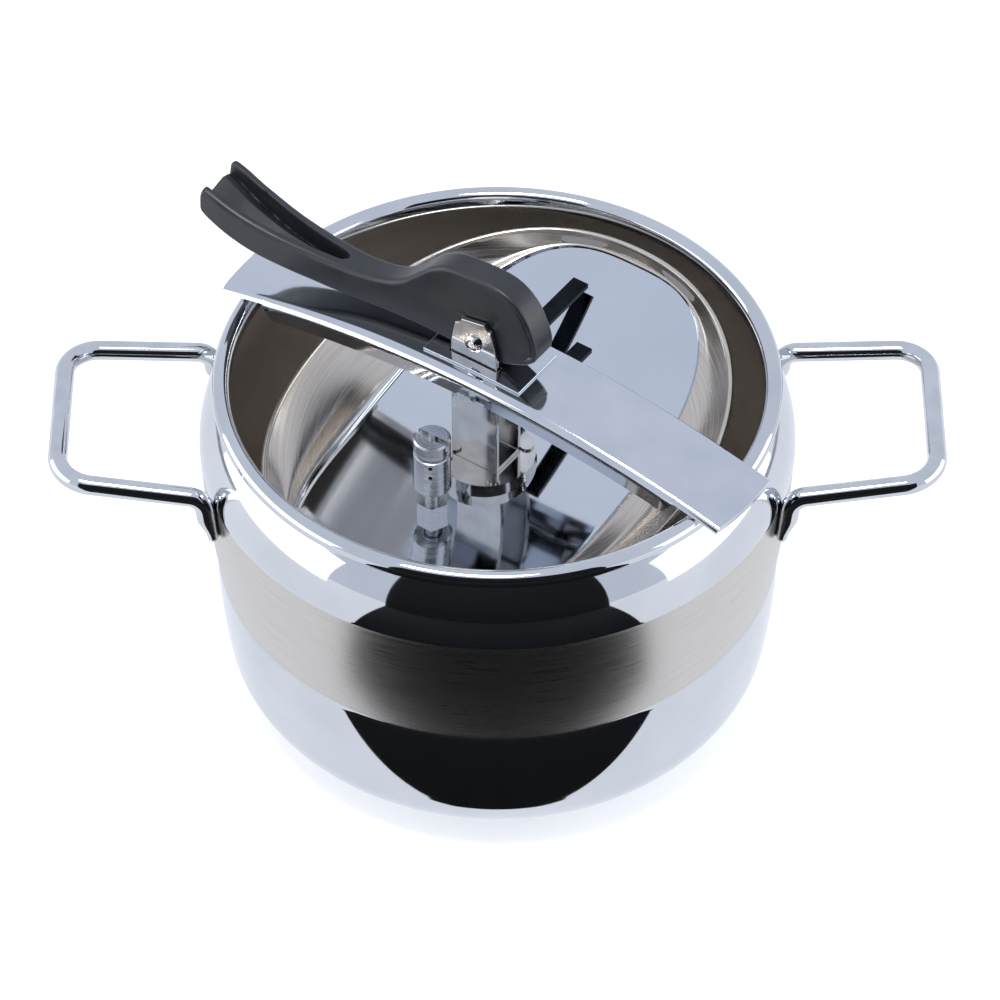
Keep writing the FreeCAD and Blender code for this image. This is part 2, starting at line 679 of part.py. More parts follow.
# Lever and its bush
def make_lever():
    pin = size("pin_along")
    reach, nose = size("lever_reach"), size("nose_reach")
    side = new_body("lever_side")

    def spot(along, up, *arc):
        """A corner given from the pivot pin."""
        return (pin + along, pin_height + up) + arc

    sole, head = -size("sole"), size("head_height")
    padded(side, "lever_side_blank", [
        spot(nose - 6, zero - 2.5),
        spot(nose - 1, zero + 2.5, 7.5, -1),
        spot(nose, zero + 8),
        spot(nose - 5, zero + 22),
        spot(nose - 15, head, 15.0, -1),
        spot(zero - 14, head - 1),
        spot(zero - 22, head - 6, 12.0, -1),
        spot(zero - 45, zero + 7.5, 34.0, 1),
        spot(zero - 76, zero + 4.8, 90.0, 1),
        spot(-reach, zero + 16, 160.0, 1),
        spot(-reach - 1, zero + 2, 20.0, -1),
        spot(zero - 112, zero - 6, 90.0, -1),
        spot(zero - 60, zero - 10, 150.0, 1),
        spot(zero - 30, zero - 8),
        spot(zero - 14, sole),
        spot(zero + 10, sole),
    ], size("grip_width"))
    plan = new_body("lever_plan")
    neck, grip = size("neck") / 2, size("grip_width") / 2
    outline_plan = [
        (pin + nose + 5, -neck),
        (pin + nose + 5, neck),
        (pin - 38, neck),
        (pin - 96, grip * 0.8, 300.0, -1),
        (pin - reach - 3, grip, 400.0, 1),
        (pin - reach - 3, -grip),
        (pin - 96, grip * -0.8, 400.0, 1),
        (pin - 38, -neck, 300.0, -1),
    ]
    padded(plan, "lever_plan_blank", outline_plan, pin_height * 3, role="XY_Plane")
    blank = common("lever_blank", side, plan)
    groove_plan = new_body("groove_plan")
    wide = grip - 4
    padded(groove_plan, "groove_plan_blank", [
        (pin - 78, -wide * 0.3),
        (pin - 78, wide * 0.3, wide * 0.32, 1),
        (pin - reach - 4, wide),
        (pin - reach - 4, -wide),
    ], pin_height * 3, role="XY_Plane")
    groove_side = new_body("groove_side")
    padded(groove_side, "groove_side_blank", [
        spot(zero - 74, zero + 3.5),
        spot(-reach - 5, zero + 6.5),
        spot(-reach - 5, zero + 40),
        spot(zero - 74, zero + 40),
    ], size("grip_width"))
    groove = common("lever_groove", groove_side, groove_plan)
    bush_outer = size("pin_radius") + size("running_gap") + size("bush_wall")
    bore = lying_rod("lever_bore", bush_outer, size("neck") * 2, pin, -size("neck"), pin_height)
    lever = cut("lever_whole", blank, fuse("lever_cuts", [groove, bore]))
    turned(node(lever, "lever"), size("bar_offset"))

    sleeve = lying_rod("bush_sleeve", bush_outer, size("neck"), pin, -neck, pin_height)
    hole = lying_rod("bush_hole", size("pin_radius") + size("running_gap"), size("neck") * 2, pin,
                     -size("neck"), pin_height)
    turned(node(cut("bush_whole", sleeve, hole), "lever_bush"), size("bar_offset"))


# Lid, drawn about the pot's axis
def oval(name, half_width, half_length):
    """An upright elliptical prism whose long axis lies across the bar."""
    edge = doc.addObject("Part::Ellipse", name + "_edge")
    edge.Placement.Rotation = FreeCAD.Rotation(FreeCAD.Vector(0, 0, 1), 90)
    bind(edge, MajorRadius=half_length, MinorRadius=half_width,
         Placement__Base__z=size("lid_height") - size("lid_wall"))
    prism = doc.addObject("Part::Extrusion", name)
    prism.Base = edge
    prism.DirMode = "Custom"
    prism.Dir = FreeCAD.Vector(0, 0, 1)
    prism.Solid = True
    bind(prism, LengthFwd=size("lid_height"))
    return prism


def brim_drum(name, over):
    """The cylinder to which the wall's top is bowed, or one a given height over it.

    The wall is full height beside the bar and hardly clears the ledge at the lid's two ends.
    """
    length = size("lid_half_length")
    drop = (size("lid_wall") - size("lid_ledge") - 1.5) * 2 / (length * length)
    bend = size("lid_bend") / (zero + 1 - drop * size("lid_bend"))
    middle = bow_middle * bend / size("lid_bend")
    centre = size("lid_height") + size("lid_wall") + root(bend * bend - middle * middle)
    return drum(name, bend - over, middle, centre)


def edge_band(name, inset_out, inset_in):
    """An upright wall between two insets from the lid's edge."""
    width, length = size("lid_half_width"), size("lid_half_length")
    outer = oval(name + "_outer", width - inset_out, length - inset_out)
    return cut(name, outer, oval(name + "_inner", width - inset_in, length - inset_in))


def panel_slab(name, half):
    """An upright slab across the bar, as wide as the lid's floor panel."""
    far, low = size("lid_half_length") * 1.1, size("lid_height") - size("lid_wall")
    return box(name, (-half, half), (-far, far), (low, low + size("lid_height")))


def floor_layer(name, plan, low, high):
    """The part of a plan between two heights over the bowed floor."""
    bend = size("lid_bend")
    layer = cut(name + "_layer", drum(name + "_low", bend - low), drum(name + "_high", bend - high))
    return common(name, plan, layer)


def brim_layer(name, plan, low, high):
    """The part of a plan between two heights over the bowed brim."""
    layer = cut(name + "_layer", brim_drum(name + "_low", low), brim_drum(name + "_high", high))
    return common(name, plan, layer)


def lid_hole(name, radius, along, across):
    """A drill through the lid."""
    return cylinder(name, radius, size("lid_wall") * 2, x=along, y=across,
                    z=size("lid_height") - size("lid_wall"))


def make_lid():
    skin, ledge, wall = size("lid_sheet"), size("lid_ledge"), size("lid_wall")
    half, curl = size("lid_panel_half"), size("lid_curl")
    whole = oval("lid_outline", size("lid_half_width"), size("lid_half_length"))
    inner_slab, outer_slab = panel_slab("lid_panel_slab", half), panel_slab("lid_riser_slab", half + skin)
    rim = edge_band("lid_rim", zero, skin)
    riser = cut("lid_riser_pair", outer_slab, inner_slab)
    layers = [
        floor_layer("lid_floor_panel", common("lid_floor_plan", whole, inner_slab), -skin, zero),
        floor_layer("lid_riser", common("lid_riser_plan", whole, riser), -skin, ledge),
        floor_layer("lid_ledges", cut("lid_ledge_plan", whole, inner_slab), ledge - skin, ledge),
        floor_layer("lid_end_walls", common("lid_end_plan", rim, outer_slab), -skin, ledge),
        floor_layer("lid_wall", rim, ledge - skin, wall),
        brim_layer("lid_curl", edge_band("lid_curl_plan", -curl, skin), -curl, zero),
    ]
    drills = [lid_hole("lid_drill_%d" % i, size("rivet_radius"), x, y + size("bar_offset"))
              for i, (x, y) in enumerate(rivet_places())]
    drills.append(lid_hole("lid_drill_vent", size("vent_radius"), size("valve_along"), size("valve_across")))
    drills.append(lid_hole("lid_drill_safety", size("poppet_radius"), size("safety_along"),
                           size("safety_across")))
    over_brim = brim_drum("lid_over_brim", zero)
    dish = cut("lid_drilled", fuse("lid_layers", layers), fuse("lid_drills", drills + [over_brim]))
    turned(node(dish, "lid_dish"))
    seal_plan = edge_band("seal_plan", -size("gasket"), zero)
    seal = brim_layer("seal_ring", seal_plan, -curl - size("gasket_height"), -curl)
    turned(node(seal, "lid_gasket"))


# Regulating valve
def hexagon(name, radius, height, x, y, z):
    """An upright Part hexagon."""
    obj = doc.addObject("Part::Prism", name)
    obj.Polygon = 6
    bind(obj, Circumradius=radius, Height=height, Placement__Base__x=x, Placement__Base__y=y,
         Placement__Base__z=z)
    return obj


def lid_fitting(name, along, across, radius, bore, washer_label, nut_label):
    """Washer and nut that clamp a valve from below the lid."""
    under = lid_floor(across - radius) - size("lid_sheet")
    thick, nut = size("washer_thick"), size("nut_height")
    blank = cylinder(name + "_washer_blank", radius + size("washer_rim"), size("lid_wall"), x=along, y=across,
                     z=under - thick)
    bow = drum(name + "_washer_drum", size("lid_bend") + size("lid_sheet"))
    pared = cut(name + "_washer_pared", blank, bow)
    hole = cylinder(name + "_washer_hole", bore, size("lid_wall") * 2, x=along, y=across, z=under - thick - 1)
    turned(node(cut(name + "_washer_whole", pared, hole), washer_label))
    body = hexagon(name + "_nut_blank", radius, nut, along, across, under - thick - nut)
    thread = cylinder(name + "_nut_hole", bore, nut * 2, x=along, y=across, z=under - thick - nut - 2)
    turned(node(cut(name + "_nut_whole", body, thread), nut_label))
    return under - thick - nut


def make_regulator():
    x, y = size("valve_along"), size("valve_across")
    floor = lid_floor(y)
    foot = floor + size("weight_seat")
    low = lid_fitting("vent", x, y, size("weight_radius"), size("vent_radius"), "vent_washer", "vent_nut")
    deep = size("lid_wall") / 2
    collar_top = floor + size("vent_collar_tall")
    collar_blank = hexagon("vent_collar_blank", size("vent_collar"), collar_top + deep - size("lid_height"),
                           x, y, size("lid_height") - deep)
    collar = common("vent_collar", collar_blank, drum("vent_collar_drum", size("lid_bend")))
    inside = size("vent_inside")
    tube = cylinder("vent_tube_outer", size("vent_radius"), foot + inside - low + 2, x=x, y=y, z=low - 2)
    bore = cylinder("vent_tube_bore", size("vent_bore"), size("lid_height"), x=x, y=y, z=low - 5)
    vent = cut("vent_whole", fuse("vent_solid", [collar, tube]), bore)
    turned(node(vent, "vent_tube"))

    radius, tall = size("weight_radius"), size("weight_height")
    guide = size("vent_radius") + size("vent_gap")
    weight_pin, jet, edge = size("weight_pin"), size("weight_jet"), size("weight_edge")
    body = new_body("weight_turned")
    top = foot + tall
    revolved(body, "weight_spun", [
        (guide, foot),
        (radius - 1, foot),
        (radius, foot + 1),
        (radius, top - 8.2),
        (radius - 0.8, top - 7.8),
        (radius - 0.8, top - 6.6),
        (radius, top - 6.2),
        (radius, top - edge),
        (radius - edge, top),
        (weight_pin, top),
        (weight_pin, foot + inside + 4),
        (jet, foot + inside + 4),
        (jet, foot + inside + 0.4),
        (guide, foot + inside + 0.4),
    ])
    bind(body, Placement__Base__x=x, Placement__Base__y=y)
    slot = box("weight_slot", (x - radius * 1.2, x + radius * 1.2), (y - 1.3, y + 1.3), (top - 3.2, top + 2))
    drills = [slot]
    for i, (angle, drop) in enumerate(((-60, 10.5), (-60, 15.5), (30, 12.5), (120, 12.5), (210, 12.5))):
        drill = cylinder("weight_drill_%d" % i, size("weight_hole"), radius * 1.5, x=x, y=y, z=top - drop)
        drill.Placement.Rotation = FreeCAD.Rotation(FreeCAD.Vector(0, 0, 1), angle).multiply(
            FreeCAD.Rotation(FreeCAD.Vector(0, 1, 0), 90))
        drills.append(drill)
    weight = cut("weight_whole", body, fuse("weight_drills", drills))
    turned(node(weight, "regulator_weight"))

    pin_top = top + 1.5
    rod = cylinder("weight_pin_rod", weight_pin, pin_top - (foot + inside + 4), x=x, y=y,
                   z=foot + inside + 4)
    eye = cylinder("weight_pin_eye", zero + 0.6, zero + 6, x=x, y=y + 3, z=top - 0.6)
    eye.Placement.Rotation = FreeCAD.Rotation(FreeCAD.Vector(1, 0, 0), 90)
    turned(node(cut("weight_pin_whole", rod, eye), "regulator_pin"))


# Safety valve
def make_safety():
    x, y = size("safety_along"), size("safety_across")
    radius, tall, stem = size("safety_radius"), size("safety_height"), size("poppet_radius")
    floor = lid_floor(y + radius)
    low = lid_fitting("safety", x, y, radius, stem, "safety_washer", "safety_nut")
    cage_wall, seat = size("cage_wall"), size("cage_seat")
    body = new_body("safety_cage_turned")
    through = stem * 0.5
    revolved(body, "safety_cage_spun", [
        (through, low - 1.5),
        (stem, low - 1.5),
        (stem, floor),
        (radius, floor),
        (radius, floor + tall),
        (through + 0.8, floor + tall),
        (through + 0.8, floor + tall - cage_wall),
        (radius - cage_wall, floor + tall - cage_wall),
        (radius - cage_wall, floor + seat),
        (through, floor + seat),
    ])
    bind(body, Placement__Base__x=x, Placement__Base__y=y)
    windows = []
    for i in range(3):
        window = cylinder("safety_window_%d" % i, radius * 0.35, radius * 1.5, x=x, y=y,
                          z=floor + tall * 0.55)
        window.Placement.Rotation = FreeCAD.Rotation(FreeCAD.Vector(0, 0, 1), 60 + 120 * i).multiply(
            FreeCAD.Rotation(FreeCAD.Vector(0, 1, 0), 90))
        windows.append(window)
    blank = cylinder("safety_collar_blank", radius, floor + 0.5 - size("lid_height"), x=x, y=y,
                     z=size("lid_height"))
    collar = common("safety_collar", blank, drum("safety_collar_drum", size("lid_bend")))
    windows.append(cylinder("safety_bore", through, size("lid_wall") + seat, x=x, y=y, z=low - 2))
    solid = fuse("safety_cage_solid", [body, collar])
    cage = cut("safety_cage_whole", solid, fuse("safety_windows", windows))
    turned(node(cage, "safety_cage"))

    rod = stem * 0.5
    poppet = new_body("safety_poppet_turned")
    disc_low = floor + seat + 0.3
    revolved(poppet, "safety_poppet_spun", [
        (zero, disc_low),
        (radius - cage_wall - 0.7, disc_low),
        (radius - cage_wall - 0.7, disc_low + 1.6),
        (rod, disc_low + 1.6),
        (rod, floor + tall + 4),
        (zero, floor + tall + 4),
    ])
    bind(poppet, Placement__Base__x=x, Placement__Base__y=y)
    eye = lying_rod("safety_poppet_eye", zero + 0.5, zero + 6, x, y - 3, floor + tall + 2.6)
    turned(node(cut("safety_poppet_whole", poppet, eye), "safety_poppet"))

    wire = plain(size("spring_wire"))
    coil = plain(rod) + wire * 3
    start = plain(disc_low) + 1.6 + wire + 0.05
    end = plain(floor + tall - cage_wall) - wire - 0.05
    turns = 6
    helix = Part.makeHelix((end - start) / turns, end - start, coil)
    section = Part.Wire(Part.Circle(FreeCAD.Vector(coil, 0, 0), FreeCAD.Vector(0, 1, 0), wire).toShape())
    spring = doc.addObject("Part::Feature", "safety_spring")
    spring.Shape = Part.Wire(helix).makePipeShell([section], True, True)
    turn = FreeCAD.Rotation(FreeCAD.Vector(0, 0, 1), plain(size("bar_turn")))
    spring.Placement = FreeCAD.Placement(turn.multVec(FreeCAD.Vector(plain(x), plain(y), start)), turn)
    node(spring, "safety_spring")


make_pot()
make_handles()
make_bar()
make_stirrup()
make_lever()
make_lid()
make_regulator()
make_safety()
doc.recompute()

for obj in doc.Objects:
    if "Invalid" in obj.State or "Error" in obj.State:
        raise RuntimeError("%s did not compute" % obj.Name)
for piece in NODES:
    if piece.Shape.isNull() or not piece.Shape.isValid() or not piece.Shape.Solids:
        raise RuntimeError("%s has no valid solid" % piece.Label)

os.makedirs("parts", exist_ok=True)
for piece in NODES:
    piece.Shape.exportStep(os.path.join("parts", piece.Label + ".step"))
print("%d pieces written" % len(NODES))
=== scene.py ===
# Stovetop pressure cooker with a flexible inner lid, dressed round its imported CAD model.
import json
import math

import bmesh
import bpy
import numpy as np
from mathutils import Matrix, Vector


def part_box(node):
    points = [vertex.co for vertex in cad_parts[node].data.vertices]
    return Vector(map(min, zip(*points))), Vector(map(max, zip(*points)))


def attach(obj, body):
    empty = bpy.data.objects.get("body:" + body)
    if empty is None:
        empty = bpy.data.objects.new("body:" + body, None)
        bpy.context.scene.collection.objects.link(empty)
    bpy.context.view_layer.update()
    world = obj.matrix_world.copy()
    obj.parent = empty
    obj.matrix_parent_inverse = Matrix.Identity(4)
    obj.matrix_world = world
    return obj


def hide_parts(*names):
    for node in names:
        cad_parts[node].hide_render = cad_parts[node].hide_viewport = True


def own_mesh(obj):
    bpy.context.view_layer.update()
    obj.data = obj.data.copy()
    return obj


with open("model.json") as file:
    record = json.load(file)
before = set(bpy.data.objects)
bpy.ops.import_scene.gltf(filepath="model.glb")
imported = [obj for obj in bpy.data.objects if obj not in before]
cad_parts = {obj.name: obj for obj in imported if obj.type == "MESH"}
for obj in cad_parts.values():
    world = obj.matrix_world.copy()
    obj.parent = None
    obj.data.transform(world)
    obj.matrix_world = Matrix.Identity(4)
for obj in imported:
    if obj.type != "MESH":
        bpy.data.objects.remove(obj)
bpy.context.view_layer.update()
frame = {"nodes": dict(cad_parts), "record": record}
mm = 0.001
joints = {joint["name"]: joint for joint in frame["record"]["behaviour"]["joints"]}
print("frame loaded")


# the bar's own directions, from the lever's hinge: across the bar, then along it
hinge = joints["lever_swing"]
pin = np.array(hinge["pos_m"], float)
across = np.array(hinge["axis"], float)
across /= np.linalg.norm(across)
along = np.array([across[1], -across[0], 0.0])
pinAlong, pinAcross, pinHeight = pin @ along / mm, pin @ across / mm, pin[2] / mm


# a point u mm along the bar, v mm across it and z mm up, measured from the pot's axis
def barPoint(u, v, z):
    u, v, z = np.broadcast_arrays(u, v, z)
    return (u[..., None] * along + v[..., None] * across + z[..., None] * np.array([0, 0, 1])) * mm


# smooth step from 0 to 1 while x goes from a to b
def ease(x, a, b):
    t = np.clip((x - a) / (b - a), 0, 1)
    return t * t * (3 - 2 * t)


# a smooth line through key points: Catmull-Rom, the same number of steps in every span
def smoothLine(keys, steps):
    keys = np.array(keys, float)
    ends = np.vstack([2 * keys[0] - keys[1], keys, 2 * keys[-1] - keys[-2]])
    t = (np.arange(steps) / steps)[None, :, None]
    a, b, c, d = (ends[i:len(ends) - 3 + i][:, None, :] for i in range(4))
    line = b + 0.5 * t * (c - a + t * (2 * a - 5 * b + 4 * c - d + t * (3 * (b - c) + d - a)))
    return np.vstack([line.reshape(-1, keys.shape[1]), keys[-1]])


# points on an arc round centre (in a flat profile), angles in degrees
def arc(centre, radius, start, end, count):
    angle = np.radians(np.linspace(start, end, count))
    return np.stack([centre[0] + radius * np.cos(angle), centre[1] + radius * np.sin(angle)], -1)


# points on the arc of that radius from one profile point to the next; side 1 bulges to the right of the way
def bulge(start, end, radius, side, count):
    start, end = np.array(start, float), np.array(end, float)
    half = (end - start) / 2
    length = np.hypot(*half)
    normal = np.array([half[1], -half[0]]) / length * side
    centre = start + half - normal * math.sqrt(max(radius * radius - length * length, 0))
    first, last = (math.degrees(math.atan2(*(p - centre)[::-1])) for p in (start, end))
    turn = (last - first + 180) % 360 - 180
    return arc(centre, radius, first, first + turn, count)


# one mesh from a grid of points [rows, columns, 3]; columns may close on themselves
def gridMesh(name, points, rowMaterials=None, wrap=True, caps=True, angle=38, flow=None):
    rows, columns = points.shape[:2]
    index = np.arange(rows * columns).reshape(rows, columns)
    right = np.roll(index, -1, 1) if wrap else index[:, 1:]
    left = index if wrap else index[:, :-1]
    faces = np.stack([left[:-1], right[:-1], right[1:], left[1:]], -1).reshape(-1, 4).tolist()
    if wrap and caps:
        faces += [index[0][::-1].tolist(), index[-1].tolist()]
    mesh = bpy.data.meshes.new(name)
    mesh.from_pydata(points.reshape(-1, 3).tolist(), [], faces)
    if rowMaterials is not None:
        kinds = np.zeros(len(faces), np.int32)
        kinds[:(rows - 1) * left.shape[1]] = np.repeat(np.asarray(rowMaterials, np.int32), left.shape[1])
        mesh.polygons.foreach_set("material_index", kinds)
    if flow is not None:   # two numbers in metres for every grid point, as the piece's own UV map
        loops = np.zeros(len(mesh.loops), np.int32)
        mesh.loops.foreach_get("vertex_index", loops)
        layer = mesh.uv_layers.new(name="flow")
        layer.data.foreach_set("uv", flow.reshape(-1, 2)[loops].astype(np.float32).ravel())
    tidyMesh(mesh, angle)
    return mesh


# merges doubles, turns every face outwards and marks edges sharper than angle
def tidyMesh(mesh, angle, flatten=False):
    work = bmesh.new()
    work.from_mesh(mesh)
    bmesh.ops.remove_doubles(work, verts=work.verts, dist=2e-6)
    bmesh.ops.dissolve_degenerate(work, dist=1e-7, edges=work.edges)
    if flatten:
        bmesh.ops.dissolve_limit(work, angle_limit=math.radians(1), verts=work.verts, edges=work.edges)
    bmesh.ops.recalc_face_normals(work, faces=work.faces)
    work.to_mesh(mesh)
    work.free()
    mesh.polygons.foreach_set("use_smooth", np.ones(len(mesh.polygons), bool))
    mesh.set_sharp_from_angle(angle=math.radians(angle))


# puts a mesh in the scene with its finishes
def piece(name, mesh, materials):
    obj = bpy.data.objects.new(name, mesh)
    for material in materials:
        mesh.materials.append(material)
    bpy.context.scene.collection.objects.link(obj)
    return obj


# makes the modifiers' result the piece's own mesh
def settleMesh(obj):
    bpy.context.view_layer.update()
    evaluated = obj.evaluated_get(bpy.context.evaluated_depsgraph_get())
    mesh = bpy.data.meshes.new_from_object(evaluated)
    obj.modifiers.clear()
    obj.data = mesh
    return obj


def softEdges(obj, width, angle=35):
    bevel = obj.modifiers.new("broken edges", "BEVEL")
    bevel.width = width * mm
    bevel.segments = 2
    bevel.limit_method = "ANGLE"
    bevel.angle_limit = math.radians(angle)
    bevel.harden_normals = True
    return bevel


# a copy of a CAD node, welded and with its sharp edges broken
def dressedCopy(node, name, material, width, body, angle=38):
    mesh = frame["nodes"][node].data.copy()
    mesh.name = name
    mesh.materials.clear()
    for layer in list(mesh.uv_layers):
        mesh.uv_layers.remove(layer)
    if mesh.has_custom_normals:
        mesh.attributes.remove(mesh.attributes["custom_normal"])
    tidyMesh(mesh, angle, flatten=True)
    obj = piece(name, mesh, [material])
    softEdges(obj, width)
    settleMesh(obj)
    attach(obj, body)
    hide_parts(node)
    return obj


# finishes

def linear(text):
    part = np.array([int(text[i:i + 2], 16) / 255 for i in (1, 3, 5)])
    part = np.where(part <= 0.04045, part / 12.92, ((part + 0.055) / 1.055) ** 2.4)
    return (*part.tolist(), 1.0)


# adds a node: settings are its properties or inputs, links are input: (node, output)
def addNode(tree, kind, settings=None, links=None):
    node = tree.nodes.new(kind)
    for key, value in (settings or {}).items():
        if isinstance(key, str) and hasattr(node, key):
            setattr(node, key, value)
        else:
            node.inputs[key].default_value = value
    for key, (source, output) in (links or {}).items():
        tree.links.new(source.outputs[output], node.inputs[key])
    return node


def newMaterial(name, settings):
    material = bpy.data.materials.new(name)
    material.use_nodes = True
    tree = material.node_tree
    tree.nodes.clear()
    shader = addNode(tree, "ShaderNodeBsdfPrincipled", settings)
    addNode(tree, "ShaderNodeOutputMaterial", {}, {"Surface": (shader, "BSDF")})
    return material, tree, shader


# a two-colour ramp over a pattern's value
def colourRamp(tree, pattern, output, low, high, start=0.3, end=0.7):
    ramp = addNode(tree, "ShaderNodeValToRGB", {}, {"Fac": (pattern, output)})
    for stop, place, colour in zip(ramp.color_ramp.elements, (start, end), (low, high)):
        stop.position = place
        stop.color = colour
    return ramp


def spread(tree, pattern, output, low, high):
    limits = {"To Min": low, "To Max": high, "From Min": 0.3, "From Max": 0.7}
    return addNode(tree, "ShaderNodeMapRange", limits, {"Value": (pattern, output)})


# one pattern drives colour and roughness together, and relief lifts the surface by depth mm
def wearPattern(tree, shader, pattern, colour, rough, relief, depth):
    tint = colourRamp(tree, pattern, "Fac", linear(colour[0]), linear(colour[1]))
    tree.links.new(tint.outputs["Color"], shader.inputs["Base Color"])
    haze = spread(tree, pattern, "Fac", rough[0], rough[1])
    tree.links.new(haze.outputs["Result"], shader.inputs["Roughness"])
    liftRelief(tree, shader, relief, depth)


def liftRelief(tree, shader, relief, depth):
    bump = addNode(tree, "ShaderNodeBump", {"Strength": 1.0, "Distance": depth * mm},
                   {"Height": (relief, "Fac")})
    tree.links.new(bump.outputs["Normal"], shader.inputs["Normal"])


# buffed sheet or wire: a mirror with faint haze where the buffing mop wandered
def polishedSteel(name, colour, haze, patch=35.0):
    material, tree, shader = newMaterial(name, {"Metallic": 1.0})
    place = addNode(tree, "ShaderNodeTexCoord")
    cloud = addNode(tree, "ShaderNodeTexNoise", {"Scale": 1 / (patch * mm), "Detail": 3.0},
                    {"Vector": (place, "Object")})
    rough = spread(tree, cloud, "Fac", haze * 0.7, haze * 1.4)
    tree.links.new(rough.outputs["Result"], shader.inputs["Roughness"])
    tint = colourRamp(tree, cloud, "Fac", linear(colour[0]), linear(colour[1]))
    tree.links.new(tint.outputs["Color"], shader.inputs["Base Color"])
    return material


# brushed round an upright axis: streaks run round, so the pattern is drawn on angle and height
def brushedSteel(name, colour, rough, radius, streak, length, depth):
    material, tree, shader = newMaterial(name, {"Metallic": 1.0})
    place = addNode(tree, "ShaderNodeTexCoord")
    split = addNode(tree, "ShaderNodeSeparateXYZ", {}, {"Vector": (place, "Object")})
    angle = addNode(tree, "ShaderNodeMath", {"operation": "ARCTAN2"}, {0: (split, "Y"), 1: (split, "X")})
    run = addNode(tree, "ShaderNodeMath", {"operation": "MULTIPLY", 1: radius / length}, {0: (angle, "Value")})
    rise = addNode(tree, "ShaderNodeMath", {"operation": "MULTIPLY", 1: 1 / (streak * mm)}, {0: (split, "Z")})
    flat = addNode(tree, "ShaderNodeCombineXYZ", {}, {"X": (run, "Value"), "Y": (rise, "Value")})
    lines = addNode(tree, "ShaderNodeTexNoise", {"Scale": 1.0, "Detail": 4.0, "Roughness": 0.7},
                    {"Vector": (flat, "Vector")})
    wearPattern(tree, shader, lines, colour, rough, lines, depth)
    return material


# drawn sheet whose faint lines run with the piece's own flow map
def drawnSteel(name, colour, rough, streak, length, depth):
    material, tree, shader = newMaterial(name, {"Metallic": 1.0})
    flow = addNode(tree, "ShaderNodeUVMap", {"uv_map": "flow"})
    stretch = addNode(tree, "ShaderNodeMapping", {"Scale": (1 / (length * mm), 1 / (streak * mm), 1)},
                      {"Vector": (flow, "UV")})
    lines = addNode(tree, "ShaderNodeTexNoise", {"Scale": 1.0, "Detail": 4.0, "Roughness": 0.65},
                    {"Vector": (stretch, "Vector")})
    wearPattern(tree, shader, lines, colour, rough, lines, depth)
    return material


# lathe-turned: fine rings on the side (by height) and on the end (by distance from the axis)
def turnedSteel(name, colour, rough, centre, pitch, depth):
    material, tree, shader = newMaterial(name, {"Metallic": 1.0})
    place = addNode(tree, "ShaderNodeTexCoord")
    home = addNode(tree, "ShaderNodeMapping", {"Location": (-centre[0], -centre[1], 0)},
                   {"Vector": (place, "Object")})
    split = addNode(tree, "ShaderNodeSeparateXYZ", {}, {"Vector": (home, "Vector")})
    plane = addNode(tree, "ShaderNodeCombineXYZ", {}, {"X": (split, "X"), "Y": (split, "Y")})
    reach = addNode(tree, "ShaderNodeVectorMath", {"operation": "LENGTH"}, {0: (plane, "Vector")})
    height = addNode(tree, "ShaderNodeMath", {"operation": "MULTIPLY", 1: 1 / (pitch * mm)}, {0: (split, "Z")})
    out = addNode(tree, "ShaderNodeMath", {"operation": "MULTIPLY", 1: 1 / (pitch * mm)}, {0: (reach, "Value")})
    rings = addNode(tree, "ShaderNodeCombineXYZ", {}, {"X": (height, "Value"), "Y": (out, "Value")})
    lines = addNode(tree, "ShaderNodeTexNoise", {"Scale": 1.0, "Detail": 3.0}, {"Vector": (rings, "Vector")})
    wearPattern(tree, shader, lines, colour, rough, lines, depth)
    return material


# compression-moulded phenolic: black filler resin, satin with a fine grain and rubbed lighter patches
def phenolic(name, colour, rough, grain, depth):
    material, tree, shader = newMaterial(name, {"Metallic": 0.0, "IOR": 1.6, "Coat Weight": 0.0})
    place = addNode(tree, "ShaderNodeTexCoord")
    cloud = addNode(tree, "ShaderNodeTexNoise", {"Scale": 1 / (14 * mm), "Detail": 4.0},
                    {"Vector": (place, "Object")})
    speck = addNode(tree, "ShaderNodeTexNoise", {"Scale": 1 / (grain * mm), "Detail": 2.0},
                    {"Vector": (place, "Object")})
    wearPattern(tree, shader, cloud, colour, rough, speck, depth)
    return material


valveCentre = (np.array(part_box("regulator_weight")[0]) + np.array(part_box("regulator_weight")[1])) / 2
